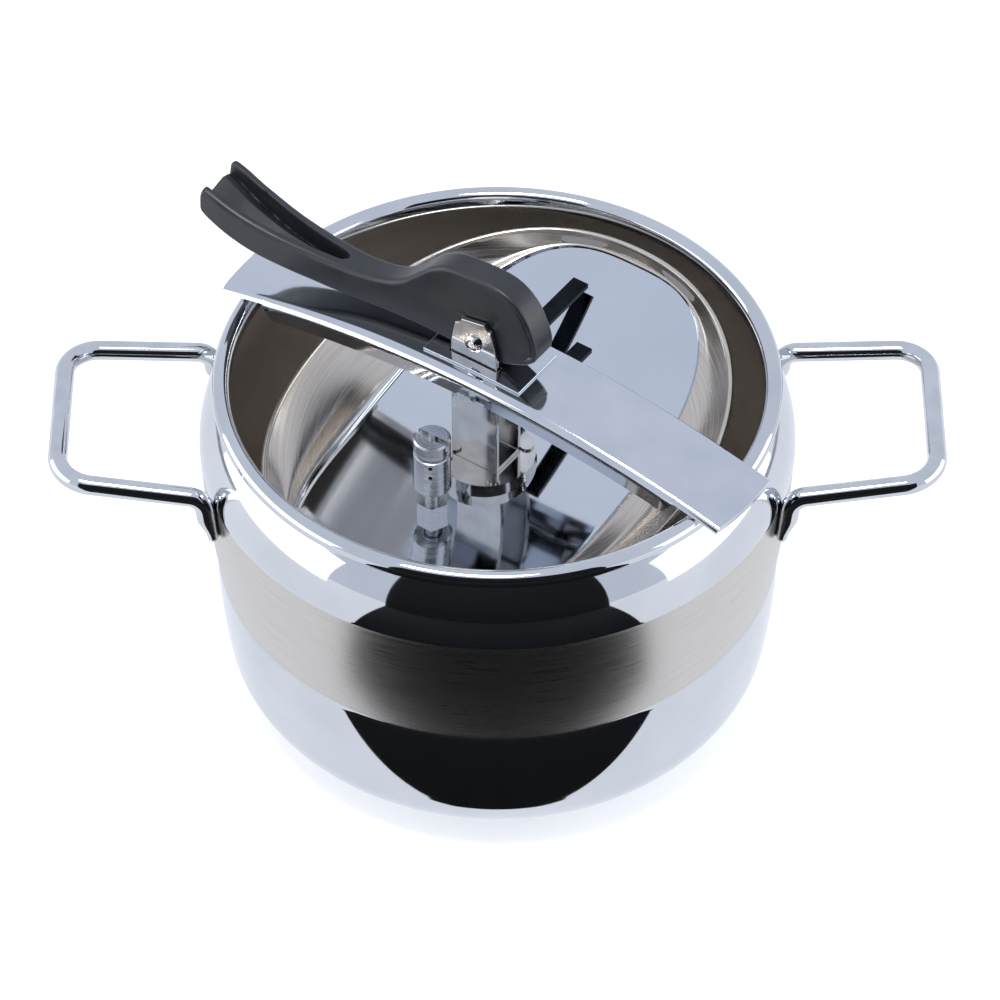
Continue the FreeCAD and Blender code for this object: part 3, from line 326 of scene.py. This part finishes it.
# brushed and drawn steels: two colours, roughness, then the radius (m) or the pattern's sizes (mm)
finish = {
    # pot and capsule: near-mirror, so it shows the room; the slow haze keeps it from looking like chrome
    "mirror": polishedSteel("buffed stainless steel", ("#cfd2d6", "#dadcdf"), 0.045),
    # handles: the same buffing with shorter patches, since a wire is small under the mop
    "wire": polishedSteel("buffed stainless wire", ("#cdd0d4", "#dcdee1"), 0.06, patch=12),
    # bar: a touch hazier and cooler than the pot, with soft-edged reflections
    "plate": polishedSteel("buffed stainless plate", ("#cdd2d9", "#d8dbe0"), 0.07, patch=20),
    # band: fine lines running round, which blur reflections up and down into soft bars
    "band": brushedSteel("satin brushed stainless steel", ("#c2beb8", "#dedad4"), (0.24, 0.38), 0.118,
                         0.45, 0.03, 0.02),
    # pot's inside: rougher and warmer, so the mouth looks deep but not black
    "inside": brushedSteel("brushed stainless steel inside", ("#d9d2ca", "#ece6df"), (0.42, 0.55), 0.115,
                           0.6, 0.05, 0.012),
    # lid's floor: the clearest mirror of all, with long patches
    "lidFloor": polishedSteel("mirror spring steel", ("#cdd2da", "#d6dae0"), 0.05, patch=60),
    # lid's wall: warm satin with draw lines that follow the wall
    "lidWall": drawnSteel("drawn spring steel", ("#c3b9ad", "#ddd6cd"), (0.14, 0.26), 0.7, 60, 0.01),
    # valves: fine tool rings that sparkle at the edges
    "turned": turnedSteel("turned stainless steel", ("#c4c6c8", "#e0e2e4"), (0.16, 0.3), valveCentre, 0.35, 0.02),
    # stirrup and small fittings: bright strip with the rolling's faint blotches
    "strap": polishedSteel("bright rolled strip steel", ("#cbc9c6", "#dddbd8"), 0.09, patch=8),
    # fork: dark oxide that still glints on its edges
    "black": polishedSteel("blackened steel", ("#16181c", "#202329"), 0.2, patch=6),
    # base core: dull grey cast metal, hidden inside the capsule
    "core": polishedSteel("cast aluminium", ("#b4b6b8", "#c8cacc"), 0.35, patch=9),
    # seal and washers: matt grey rubber
    "silicone": phenolic("grey silicone rubber", ("#8d8a86", "#9a9793"), (0.5, 0.6), 1.5, 0.01),
    # lever: charcoal resin with a satin sheen along its rounded edges
    "phenolic": phenolic("black phenolic", ("#131519", "#1f2126"), (0.34, 0.46), 0.5, 0.012),
}
print("finishes made")


# pot: one profile, spun about the pot's axis, with a finish for each stretch
pot = {"baseStack": 7.0, "baseRadius": 92.0, "heel": (112.2, 32.0), "bandFoot": (115.0, 74.0),
       "belly": (120.0, 131.0), "neck": (107.85, 158.05), "beadCentre": (110.4, 160.6), "beadRadius": 3.6,
       "sheet": 1.4, "bandSink": 0.22,
       "around": 288}


def makePot():
    sink, sheet = pot["bandSink"], pot["sheet"]
    heelArc = (pot["heel"][1] - pot["baseStack"]) * 1.1
    foot, belly = np.array(pot["bandFoot"]), np.array(pot["belly"])
    low = (pot["baseRadius"] - 2, pot["baseStack"])
    bandLow, bandHigh = foot + (-sink, 0.5), belly + (-sink, -0.7)
    stretches = [
        (0, np.array([[0.0, pot["baseStack"]], low])),
        (0, bulge(low, pot["heel"], heelArc, 1, 18)),
        (0, bulge(pot["heel"], foot, 312, 1, 24)),
        (1, bulge(bandLow, bandHigh, 432, 1, 30)),
        (0, bulge(belly, pot["neck"], 36.2, 1, 28)),
        (0, arc(pot["beadCentre"], pot["beadRadius"], 225, 540, 40)),
        (2, bulge((106.7, 157.4), belly + (-sheet, 0), 34.8, -1, 24)),
        (2, bulge(belly + (-sheet, -1), foot + (-sheet, 0), 432, -1, 20)),
        (2, bulge(foot + (-sheet, 0), np.array(pot["heel"]) + (-sheet, 0), 312, -1, 16)),
        (2, bulge(np.array(pot["heel"]) + (-sheet, 0), (low[0], low[1] + sheet), heelArc - sheet, -1, 14)),
        (2, np.array([[0.0, low[1] + sheet]])),
    ]
    profile = np.vstack([points for _, points in stretches])
    kinds = np.concatenate([np.full(len(points), kind) for kind, points in stretches])[:-1]
    turn = np.linspace(0, 2 * np.pi, pot["around"], endpoint=False)
    ring = np.stack([np.cos(turn), np.sin(turn)], -1)
    points = np.empty((len(profile), len(turn), 3))
    points[..., :2] = profile[:, None, :1] * ring[None] * mm
    points[..., 2] = profile[:, 1:] * mm
    mesh = gridMesh("potWall", points, kinds, caps=False, angle=28)
    obj = piece("potWall", mesh, [finish["mirror"], finish["band"], finish["inside"]])
    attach(obj, "pot")
    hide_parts("pot_shell")


makePot()
print("pot made")


# wire handles: a round section carried along straight runs and tangent arcs
handle = {"wire": 4.0, "reach": 175.0, "span": 42.0, "grip": 38.0, "height": 136.0, "rise": 5.5, "foot": 18.0,
          "bends": (7.0, 15.0, 15.0, 7.0), "touch": 124.0, "footRadius": 122.9, "sides": 32}


# rounds the corners of a run of points with tangent arcs
def roundedRun(spots, bends, steps):
    spots = np.array(spots, float)
    into = spots[1:-1] - spots[:-2]
    out = spots[2:] - spots[1:-1]
    into /= np.linalg.norm(into, axis=1, keepdims=True)
    out /= np.linalg.norm(out, axis=1, keepdims=True)
    turn = np.arccos(np.clip((into * out).sum(1), -1, 1))
    bends = np.array(bends)
    reach = bends * np.tan(turn / 2)
    near = spots[1:-1] - into * reach[:, None]
    inward = out - into * np.cos(turn)[:, None]
    inward /= np.linalg.norm(inward, axis=1, keepdims=True)
    share = np.linspace(0, 1, steps)[None, :, None]
    angle = share * turn[:, None, None]
    arcs = (near[:, None] + into[:, None] * np.sin(angle) * bends[:, None, None]
            + inward[:, None] * (1 - np.cos(angle)) * bends[:, None, None])
    return np.vstack([spots[:1], arcs.reshape(-1, 3), spots[-1:]])


def makeHandle(name, node, side):
    wire = handle["wire"]
    footX = math.sqrt(handle["footRadius"] ** 2 - (handle["span"] + 2) ** 2)
    rootX = math.sqrt(handle["touch"] ** 2 - handle["span"] ** 2)
    low, high = handle["height"] - handle["foot"], handle["height"]
    top = high + handle["rise"]
    spots = [(side * footX, handle["span"] + 2, low), (side * rootX, handle["span"], high),
             (side * handle["reach"], handle["grip"], top), (side * handle["reach"], -handle["grip"], top),
             (side * rootX, -handle["span"], high), (side * footX, -handle["span"] - 2, low)]
    run = roundedRun(spots, handle["bends"], 18)
    first, last = run[1] - run[0], run[-1] - run[-2]
    share = np.linspace(0.12, 1, 14)[:-1, None]
    run = np.vstack([run[:1], run[0] + first * share * 0.999, run[1:-1],
                     run[-2] + last * (1 - share[::-1]), run[-1:]])
    tangent = np.gradient(run, axis=0)
    tangent /= np.linalg.norm(tangent, axis=1, keepdims=True)
    sideways = np.cross(tangent, (1.0 * side, 1.0, 1.0))
    sideways /= np.linalg.norm(sideways, axis=1, keepdims=True)
    upward = np.cross(sideways, tangent)
    turn = np.linspace(0, 2 * np.pi, handle["sides"], endpoint=False)
    radius = np.full(len(run), wire)
    cap = np.radians(np.linspace(0, 86, 7))
    ring = np.cos(turn)[None, :, None] * sideways[:, None] + np.sin(turn)[None, :, None] * upward[:, None]
    body = run[:, None] + ring * radius[:, None, None]
    lead = run[0] - tangent[0] * (wire * 0.7 * np.sin(cap))[::-1, None]
    tail = run[-1] + tangent[-1] * (wire * 0.7 * np.sin(cap))[:, None]
    front = lead[:, None] + ring[0][None] * (wire * np.cos(cap))[::-1, None, None]
    back = tail[:, None] + ring[-1][None] * (wire * np.cos(cap))[:, None, None]
    points = np.vstack([front, body[1:-1], back])
    centre = np.vstack([lead, run[1:-1], tail])[:, None]
    # the last stretch of each leg is pressed flat against the wall where it is welded on
    outward = np.array([1.0 * side, 0, 0])
    flat = 1 - 0.38 * (1 - ease(centre[..., 2], low, low + 9))
    offset = points - centre
    radial = (offset @ outward)[..., None] * outward
    points = centre + offset - radial * (1 - flat[..., None])
    points = points - outward * (handle["wire"] * (1 - flat[..., None]))
    mesh = gridMesh(name, points * mm, angle=60)
    obj = piece(name, mesh, [finish["wire"]])
    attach(obj, "pot")
    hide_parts(node)


makeHandle("handleLeftWire", "handle_left", -1)
makeHandle("handleRightWire", "handle_right", 1)
print("handles made")


# bridge bar: an inverted channel carried along its arch
bar = {"offset": pinAcross, "half": 19.0, "plate": 2.2, "flange": 9.5, "round": 4.0, "archTop": 476.2,
       "archCentre": -296.35, "tip": 122.0, "flangeEnd": 101.3, "slope": 4.75, "axisAcross": 5.0,
       "slots": (22.0, 2.0, 7.5, 0.6)}


def makeBar():
    stations, steps = 181, 22
    half, deep, bend, plate = bar["half"], bar["flange"], bar["round"], bar["plate"]
    # extra stations where each flange ends
    ends = [-0.843, -0.838, -0.832, 0.832, 0.838, 0.843]
    share = np.sort(np.concatenate([np.linspace(-1, 1, stations), ends]))
    run = share * math.sqrt(bar["tip"] ** 2 - bar["axisAcross"] ** 2)
    # the flanges slope up to the plate over their last few millimetres
    tapered = np.clip((np.abs(run) - bar["flangeEnd"] + bar["slope"]) / bar["slope"], 0, 1)
    depth = deep + (plate + 0.05 - deep) * tapered
    # outer skin: up the flange, round the bend, over the top; side 1 is the near half, -1 the far half
    t = np.linspace(0, 1, steps)[None]

    def skin(limit, radius, width, top):
        bendPart = radius * np.arccos(np.clip((radius - np.minimum(limit - top, radius)) / radius, -1, 1))
        straight = np.maximum(limit - top - radius, 0)
        reach = t * (bendPart + straight)[:, None]
        angle = np.minimum(reach, bendPart[:, None]) / radius
        y = width - radius + radius * np.sin(angle)
        z = top + radius - radius * np.cos(angle) + np.maximum(reach - bendPart[:, None], 0)
        return y, z

    outY, outZ = skin(depth, bend, half, 0.0)
    inY, inZ = skin(depth, bend - plate, half - plate, plate)
    topY = np.linspace(-1, 1, 18)[None, 1:-1] * np.ones((len(run), 1))
    y = np.hstack([outY[:, ::-1], -topY * (half - bend), -outY, -inY[:, ::-1], topY * (half - bend), inY])
    z = np.hstack([outZ[:, ::-1], topY * 0, outZ, inZ[:, ::-1], topY * 0 + plate, inZ])
    limit = np.sqrt(bar["tip"] ** 2 - (y - bar["axisAcross"]) ** 2)
    u = share[:, None] * limit
    height = bar["archCentre"] + np.sqrt((bar["archTop"] - z) ** 2 - u ** 2)
    points = barPoint(u, y + bar["offset"], height)
    mesh = gridMesh("barChannel", points, caps=False, angle=35)
    work = bmesh.new()
    work.from_mesh(mesh)
    edges = [e for e in work.edges if e.is_boundary]
    bmesh.ops.holes_fill(work, edges=edges, sides=0)
    work.to_mesh(mesh)
    work.free()
    tidyMesh(mesh, 35)
    obj = piece("barChannel", mesh, [finish["plate"]])
    wide, thick, place, gap = bar["slots"]
    cutters = []
    for side in (-1, 1):
        corners = [(pinAlong + a * (wide / 2 + gap), bar["offset"] + side * place + b * (thick / 2 + gap), c)
                   for c in (160, 200) for a, b in ((-1, -1), (1, -1), (1, 1), (-1, 1))]
        cutter = bpy.data.meshes.new("slotCutter")
        corners = np.array(corners)
        cutter.from_pydata(barPoint(corners[:, 0], corners[:, 1], corners[:, 2]).tolist(), [],
                           [(0, 1, 2, 3), (7, 6, 5, 4), (0, 4, 5, 1), (1, 5, 6, 2), (2, 6, 7, 3), (3, 7, 4, 0)])
        tidyMesh(cutter, 30)
        tool = piece("slotCutter", cutter, [])
        cutters.append(tool)
        trim = obj.modifiers.new("slot", "BOOLEAN")
        trim.operation = "DIFFERENCE"
        trim.object = tool
        trim.solver = "EXACT"
    settleMesh(obj)
    for tool in cutters:
        bpy.data.objects.remove(tool)
    softEdges(obj, 0.35)
    settleMesh(obj)
    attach(obj, "bar")
    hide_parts("bridge_bar")


makeBar()
print("bar made")


# lever: rounded sections between a top line and a sole line, with a groove sunk in the grip
lever = {
    "top": [(-131.3, 9.5), (-131.4, 15.4), (-127, 14.9), (-115, 10.4), (-97, 6.4), (-76, 4.8), (-60, 5.2),
            (-46, 7.8), (-37, 12.3), (-29.5, 19.5), (-22.5, 26.2), (-15, 30.3), (-6, 31.4), (5, 31.7), (13, 30.2),
            (19, 26.3),
            (23.5, 20.5), (26.4, 14), (27.9, 8), (27.5, 3)],
    "sole": [(-131.5, 7.5), (-131.6, 3.2), (-124, -1.4), (-112, -6.0), (-97, -8.9), (-76, -10.0), (-60, -9.9),
             (-46, -9.0), (-37, -8.5), (-29.5, -8.2), (-22.5, -8.2), (-15, -8.2), (-6, -8.2), (2, -8.2),
             (8, -8.0),
             (13, -6.6), (18, -4.5), (22, -2.5), (25, -0.4), (27, 2)],
    "width": [(-132, 12.0), (-122, 11.8), (-110, 11.0), (-96, 9.5), (-80, 8.0), (-64, 6.9), (-50, 6.2),
              (-38, 6.0),
              (30, 6.0)],
    "rib": [(-132, 3.3), (-100, 3.4), (-80, 4.0), (-60, 4.6)],
    "grooveEnd": -67.0, "grooveDepth": [(-132, 4.6), (-120, 7.0), (-100, 8.6), (-84, 8.4), (-66, 6.5)],
    "spanSteps": 12}


def makeLever():
    top, sole = smoothLine(lever["top"], lever["spanSteps"]), smoothLine(lever["sole"], lever["spanSteps"])
    u = (top[:, :1] + sole[:, :1]) / 2
    half = np.interp(u[:, 0], *zip(*lever["width"]))[:, None]
    tall = np.linalg.norm(top - sole, axis=1)[:, None] / 2
    corner = np.minimum(np.minimum(2.4 - 0.9 * ease(u, -30, 10), tall * 0.98), half * 0.98)
    # the section's outline: for each point, which straight or corner it lies on
    sideCount, topCount, soleCount, cornerCount = 84, 60, 14, 9
    turn = np.radians(np.linspace(0, 90, cornerCount))
    rise, over = np.linspace(-1, 1, sideCount)[1:-1], np.linspace(1, -1, topCount)[1:-1]
    below = np.linspace(-1, 1, soleCount)[1:-1]
    sx = np.concatenate([np.ones(cornerCount * 2 + len(rise)), over, -np.ones(cornerCount * 2 + len(rise)), below])
    sy = np.concatenate([-np.ones(cornerCount), rise, np.ones(cornerCount + len(over) + cornerCount), -rise,
                         -np.ones(cornerCount + len(below))])
    ang = np.concatenate([turn - np.pi / 2, rise * 0, turn, over * 0 + np.pi / 2, turn + np.pi / 2,
                          rise * 0 + np.pi,
                          turn + np.pi, below * 0 - np.pi / 2])
    x = sx[None] * (half - corner) + corner * np.cos(ang)[None]
    y = sy[None] * (tall - corner) + corner * np.sin(ang)[None]
    share = (y / tall + 1) / 2
    place = sole[:, None] + (top - sole)[:, None] * share[..., None]
    pu, pz = place[..., 0], place[..., 1]
    # groove: an open trough between two ribs, rounded at its inner end, with a ridge on its floor
    rib = np.interp(pu, *zip(*lever["rib"]))
    inner = np.interp(pu, *zip(*lever["width"])) - rib
    end = lever["grooveEnd"]
    reach = inner - np.sqrt(x ** 2 + np.maximum(pu - (end - inner), 0) ** 2)
    depth = np.interp(pu, *zip(*lever["grooveDepth"]))
    ridge = 1.8 * np.clip(1 - np.abs(x / inner - 0.3) / 0.9, 0, 1)
    onTop = ease(share, 0.80, 0.97)
    pz = pz - onTop * ease(reach, 0.0, 1.5) * (depth - ridge * ease(reach, 1.0, 3.0))
    # a parting line sunk just inside the head's rim, deepest at the nose
    outline = np.vstack([top, sole])
    flat = np.stack([pu, pz], -1).reshape(-1, 2)
    near = np.full(len(flat), 1e9)
    for point in outline:
        near = np.minimum(near, np.hypot(flat[:, 0] - point[0], flat[:, 1] - point[1]))
    near = near.reshape(pu.shape)
    fade = ease(pu, -4, 14) * ease(pz, -2, 4)
    onSide = np.abs(sx)[None] > 0.99
    line = (0.5 * np.exp(-((near - 2.0) / 0.45) ** 2) + 0.22 * ease(near, 1.7, 2.4)) * fade * onSide
    x = x - np.sign(x) * line
    points = barPoint(pu + pinAlong, x + pinAcross, pz + pinHeight)
    mesh = gridMesh("leverGrip", points, angle=70)
    obj = piece("leverGrip", mesh, [finish["phenolic"]])
    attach(obj, "lever_arm")
    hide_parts("lever")


makeLever()
print("lever made")


# lid: a bowed floor panel inside a flared wall with a rolled edge
lid = {"height": 120.0, "bend": 340.0, "lean": 50.0, "wall": 17.0, "ledge": 5.0, "halfWidth": 87.0,
       "halfLength": 101.0, "outerPower": 2.15, "floorWidth": 57.0, "floorLength": 97.0, "floorPower": 3.0,
       "curl": 1.5, "sheet": 0.9}


# height of the floor over a distance v across the bar: a bow whose lowest line lies in front of the axis
def lidFloor(v):
    bend, lean = lid["bend"], lid["lean"]
    return lid["height"] + math.sqrt(bend ** 2 - lean ** 2) - np.sqrt(bend ** 2 - (v + lean) ** 2)


# height of the brim: a full wall beside the bar, hardly any at the two ends
def lidBrim(v):
    drop = (lid["wall"] - lid["ledge"] - 1.5) * 2 / lid["halfLength"] ** 2
    bend = lid["bend"] / (1 - drop * lid["bend"])
    lean = lid["lean"] * bend / lid["bend"]
    return lid["height"] + lid["wall"] + math.sqrt(bend ** 2 - lean ** 2) - np.sqrt(bend ** 2 - (v + lean) ** 2)


def makeLid():
    turn = np.linspace(0, 2 * np.pi, 320, endpoint=False)
    cos, sin = np.cos(turn), np.sin(turn)

    # both outlines are read at the same polar angle, so the rows between them stay even
    def radial(width, length, power):
        reach = (np.abs(cos / width) ** power + np.abs(sin / length) ** power) ** (-1 / power)
        return np.stack([cos * reach, sin * reach], -1)

    floor = radial(lid["floorWidth"], lid["floorLength"], lid["floorPower"])
    outer = radial(lid["halfWidth"] - lid["curl"], lid["halfLength"] - lid["curl"], lid["outerPower"])
    # rows from the middle outwards: share of the floor, share of the brim, share of the wall's height
    rows = [(s, 0.0, 0.0) for s in np.linspace(0, 0.97, 30)]
    rows += [(0.985, 0.0, 0.0), (1.0, 0.0, 0.008), (1.0, 0.025, 0.05), (1.0, 0.05, 0.12), (1.0, 0.075, 0.18),
             (1.0, 0.11, 0.21)]
    rows += [(1.0, s, 0.22 + 0.03 * (s - 0.15) / 0.25) for s in np.linspace(0.16, 0.38, 8)]
    rows += [(1.0, s, 0.25 + 0.75 * ((s - 0.40) / 0.60) ** 1.35) for s in np.linspace(0.41, 1.0, 22)]
    rows = np.array(rows)
    plan = (floor[None] * rows[:, :1, None] + (outer - floor)[None] * rows[:, 1:2, None])
    v = plan[..., 1]
    low, high = lidFloor(v), lidBrim(v) - lid["curl"]
    z = low + (high - low) * rows[:, 2:3]
    # the rolled edge turns over and down outside the wall
    roll = np.radians(np.linspace(165, -75, 14))[:, None, None]
    away = outer / np.linalg.norm(outer, axis=1, keepdims=True)
    rolled = outer[None] + away[None] * (lid["curl"] * (1 + np.cos(roll)) * 0.9)
    rolledZ = high[-1][None] + lid["curl"] * np.sin(roll[..., 0])
    plan = np.vstack([plan, rolled])
    z = np.vstack([z, rolledZ])
    points = barPoint(plan[..., 0], plan[..., 1], z)
    length = np.linalg.norm(np.diff(points, axis=0), axis=2).cumsum(0)
    flow = np.zeros(points.shape[:2] + (2,))
    flow[1:, :, 1] = length
    flow[..., 0] = turn[None] * 0.09
    floorRows = 34   # rows of faces on the mirror floor, the rest are on the wall
    kinds = np.where(np.arange(len(points) - 1) < floorRows, 0, 1)
    mesh = gridMesh("lidShell", points, kinds, caps=False, angle=32, flow=flow)
    obj = piece("lidShell", mesh, [finish["lidFloor"], finish["lidWall"]])
    thick = obj.modifiers.new("sheet", "SOLIDIFY")
    thick.thickness = lid["sheet"] * mm
    thick.offset = -1
    settleMesh(obj)
    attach(obj, "lid")
    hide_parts("lid_dish")
    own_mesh(obj)


makeLid()


# seal: a lipped ring under the rolled edge
seal = {"tall": 7.0, "drop": 2.6}


def makeSeal():
    turn = np.linspace(0, 2 * np.pi, 240, endpoint=False)
    power = lid["outerPower"]
    cos, sin = np.cos(turn), np.sin(turn)
    width, length = lid["halfWidth"] - lid["curl"], lid["halfLength"] - lid["curl"]
    reach = (np.abs(cos / width) ** power + np.abs(sin / length) ** power) ** (-1 / power)
    outer = np.stack([cos * reach, sin * reach], -1)
    away = outer / np.linalg.norm(outer, axis=1, keepdims=True)
    # section: inner foot, out along the bottom, up the bulged lip, back in
    section = np.array([(-2.2, -seal["tall"]), (0.8, -seal["tall"]), (1.9, -seal["tall"] + 0.5), (2.5, -4.6),
                        (2.3, -2.6), (1.5, -0.9), (0.5, -0.2), (-0.3, 0.0), (-0.9, -2.0)])
    v = outer[:, 1]
    top = lidBrim(v) - seal["drop"]
    plan = outer[None] + away[None] * section[:, None, :1]
    z = top[None] + section[:, 1:]
    points = barPoint(plan[..., 0], plan[..., 1], z).transpose(1, 0, 2)
    points = np.concatenate([points, points[:1]], 0)
    mesh = gridMesh("lidSeal", points, caps=False, angle=60)
    obj = piece("lidSeal", mesh, [finish["silicone"]])
    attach(obj, "lid")
    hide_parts("lid_gasket")
    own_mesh(obj)


makeSeal()
print("lid made")


# stirrup, fork, valves: welded copies with broken edges, or the CAD node with a better finish
dressedCopy("stirrup", "stirrupStrap", finish["strap"], 0.35, "lid")
dressedCopy("guide_fork", "forkArms", finish["black"], 0.4, "lid")
dressedCopy("cam_plate", "wearPlate", finish["plate"], 0.3, "bar")
coil = dressedCopy("safety_spring", "safetyCoil", finish["strap"], 0.01, "lid", angle=80)
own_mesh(coil)
dressedCopy("regulator_weight", "weightBody", finish["turned"], 0.15, "weight", angle=30)


# pivot pin: a shank with a domed, faceted head each side
pinShape = {"reach": 10.1, "shank": 3.0, "head": 3.8}


def makePin():
    reach, shank, head = pinShape["reach"], pinShape["shank"], pinShape["head"]
    profile = np.array([(0, -reach), (1.5, -reach), (1.6, -reach + 0.25), (2.6, -reach + 0.2), (2.9, -reach),
                        (head - 0.7, -reach + 0.1), (head, -reach + 0.6), (head, -reach + 1.5),
                        (shank, -reach + 1.5), (shank, reach - 1.5),
                        (head, reach - 1.5), (head, reach - 0.6), (head - 0.7, reach - 0.1), (2.9, reach),
                        (2.6, reach - 0.2), (1.6, reach - 0.25), (1.5, reach), (0, reach)])
    turn = np.linspace(0, 2 * np.pi, 48, endpoint=False)
    up = np.array([0, 0, 1.0])
    ring = np.cos(turn)[:, None] * along + np.sin(turn)[:, None] * up
    points = pin[None, None] + (profile[:, None, :1] * ring[None] + profile[:, None, 1:] * across) * mm
    mesh = gridMesh("pinRod", points, caps=False, angle=35)
    obj = piece("pinRod", mesh, [finish["strap"]])
    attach(obj, "lid")
    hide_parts("pivot_pin")


makePin()

# the nodes that stay as they are, each with its finish
kept = {"base_core": "core", "base_capsule": "mirror", "lever_bush": "strap", "stirrup_seat": "strap",
        "seat_rivets": "strap", "vent_tube": "turned", "vent_washer": "silicone", "vent_nut": "turned",
        "safety_cage": "turned",
        "safety_washer": "silicone", "safety_nut": "turned", "safety_poppet": "turned",
        "regulator_pin": "turned"}
for node, name in kept.items():
    mesh = frame["nodes"][node].data
    mesh.materials.clear()
    mesh.materials.append(finish[name])
print("small parts made")


# studio: a pale table, pale surroundings, two white side panels, a soft box overhead and a dark room in front
studio = {"tableFront": -0.125, "tableSize": 6.0, "surround": ("#d8dfee", 1.0), "roomDistance": 1.5,
          "darkNear": 0.13, "darkWide": 1.12, "darkTall": 1.8, "darkDepth": 0.004, "litDepth": 0.006, "shine": 1.1}


def flatCard(name, corners, material):
    mesh = bpy.data.meshes.new(name)
    mesh.from_pydata([tuple(c) for c in corners], [], [(0, 1, 2, 3)])
    obj = piece(name, mesh, [material])
    return obj


# corners of a level card: half its width and its place across, at the front and then at the back
def levelCorners(frontHalf, front, backHalf, back, height):
    return [(-frontHalf, front, height), (frontHalf, front, height), (backHalf, back, height),
            (-backHalf, back, height)]


# a matt paint that may glow; a dull one only glows
def paint(name, colour, rough, glow=0.0, dull=False):
    base = linear("#000000" if dull else colour)
    settings = {"Base Color": base, "Roughness": rough, "Emission Color": linear(colour),
                "Emission Strength": glow}
    return newMaterial(name, settings)[0]


def softBox(name, place, target, size, power, colour="#ffffff"):
    light = bpy.data.lights.new(name, "AREA")
    light.shape = "RECTANGLE"
    light.size, light.size_y = size
    light.energy = power
    light.color = linear(colour)[:3]
    obj = bpy.data.objects.new(name, light)
    bpy.context.scene.collection.objects.link(obj)
    obj.location = place
    direction = np.array(target, float) - np.array(place, float)
    obj.rotation_euler = Vector(direction).to_track_quat("-Z", "Y").to_euler()
    return obj


def makeStudio():
    edge, size, far = studio["tableFront"], studio["tableSize"], studio["roomDistance"]
    near, wide, tall = studio["darkNear"], studio["darkWide"], studio["darkTall"]
    white = paint("matt white table", "#f4f4f5", 0.9, 0.45)
    shine = paint("lit table as steel shows it", "#e9edf6", 1.0, studio["shine"], dull=True)
    dark = paint("black felt", "#020203", 1.0)
    # the camera sees the table, while the steel shows a dimmer one with a dark floor and wall in front
    table = flatCard("table", levelCorners(size, -size, size, size, 0), white)
    table.visible_glossy = False
    lit = flatCard("litTable", levelCorners(size, -size, size, size, -studio["litDepth"]), shine)
    under = flatCard("darkFloor", levelCorners(wide, -far, near, edge, -studio["darkDepth"]), dark)
    room = flatCard("darkRoom", [(-wide, -far, -0.1), (wide, -far, -0.1), (wide, -far, tall), (-wide, -far, tall)],
                    dark)
    for card in (lit, under, room):
        card.visible_camera = False
        card.visible_diffuse = False
        card.visible_shadow = False
    world = bpy.data.worlds.new("pale surroundings")
    world.use_nodes = True
    world.node_tree.nodes.clear()
    colour, strength = studio["surround"]
    back = addNode(world.node_tree, "ShaderNodeBackground", {"Color": linear(colour), "Strength": strength})
    addNode(world.node_tree, "ShaderNodeOutputWorld", {}, {"Surface": (back, "Background")})
    bpy.context.scene.world = world
    softBox("panelLeft", (-1.35, -0.1, 0.35), (0, 0, 0.1), (1.5, 0.9), 6.5)
    softBox("panelRight", (1.35, -0.1, 0.35), (0, 0, 0.1), (1.5, 0.9), 6.5)
    softBox("overhead", (-0.2, -0.45, 1.9), (0, 0, 0.1), (0.8, 0.5), 16)


makeStudio()


camera = {"distance": 2.2, "elevation": 45.04, "aimHeight": 0.093, "sideways": 0.00102, "lens": 194.35}


def makeCamera():
    data = bpy.data.cameras.new("camera")
    data.sensor_width = 36
    data.lens = camera["lens"]
    data.clip_end = 50
    obj = bpy.data.objects.new("camera", data)
    tilt = math.radians(camera["elevation"])
    obj.location = (camera["sideways"], -camera["distance"] * math.cos(tilt),
                    camera["aimHeight"] + camera["distance"] * math.sin(tilt))
    obj.rotation_euler = (math.pi / 2 - tilt, 0, 0)
    bpy.context.scene.collection.objects.link(obj)
    bpy.context.scene.camera = obj


makeCamera()
bpy.context.scene.view_settings.view_transform = "Standard"
print("studio made")
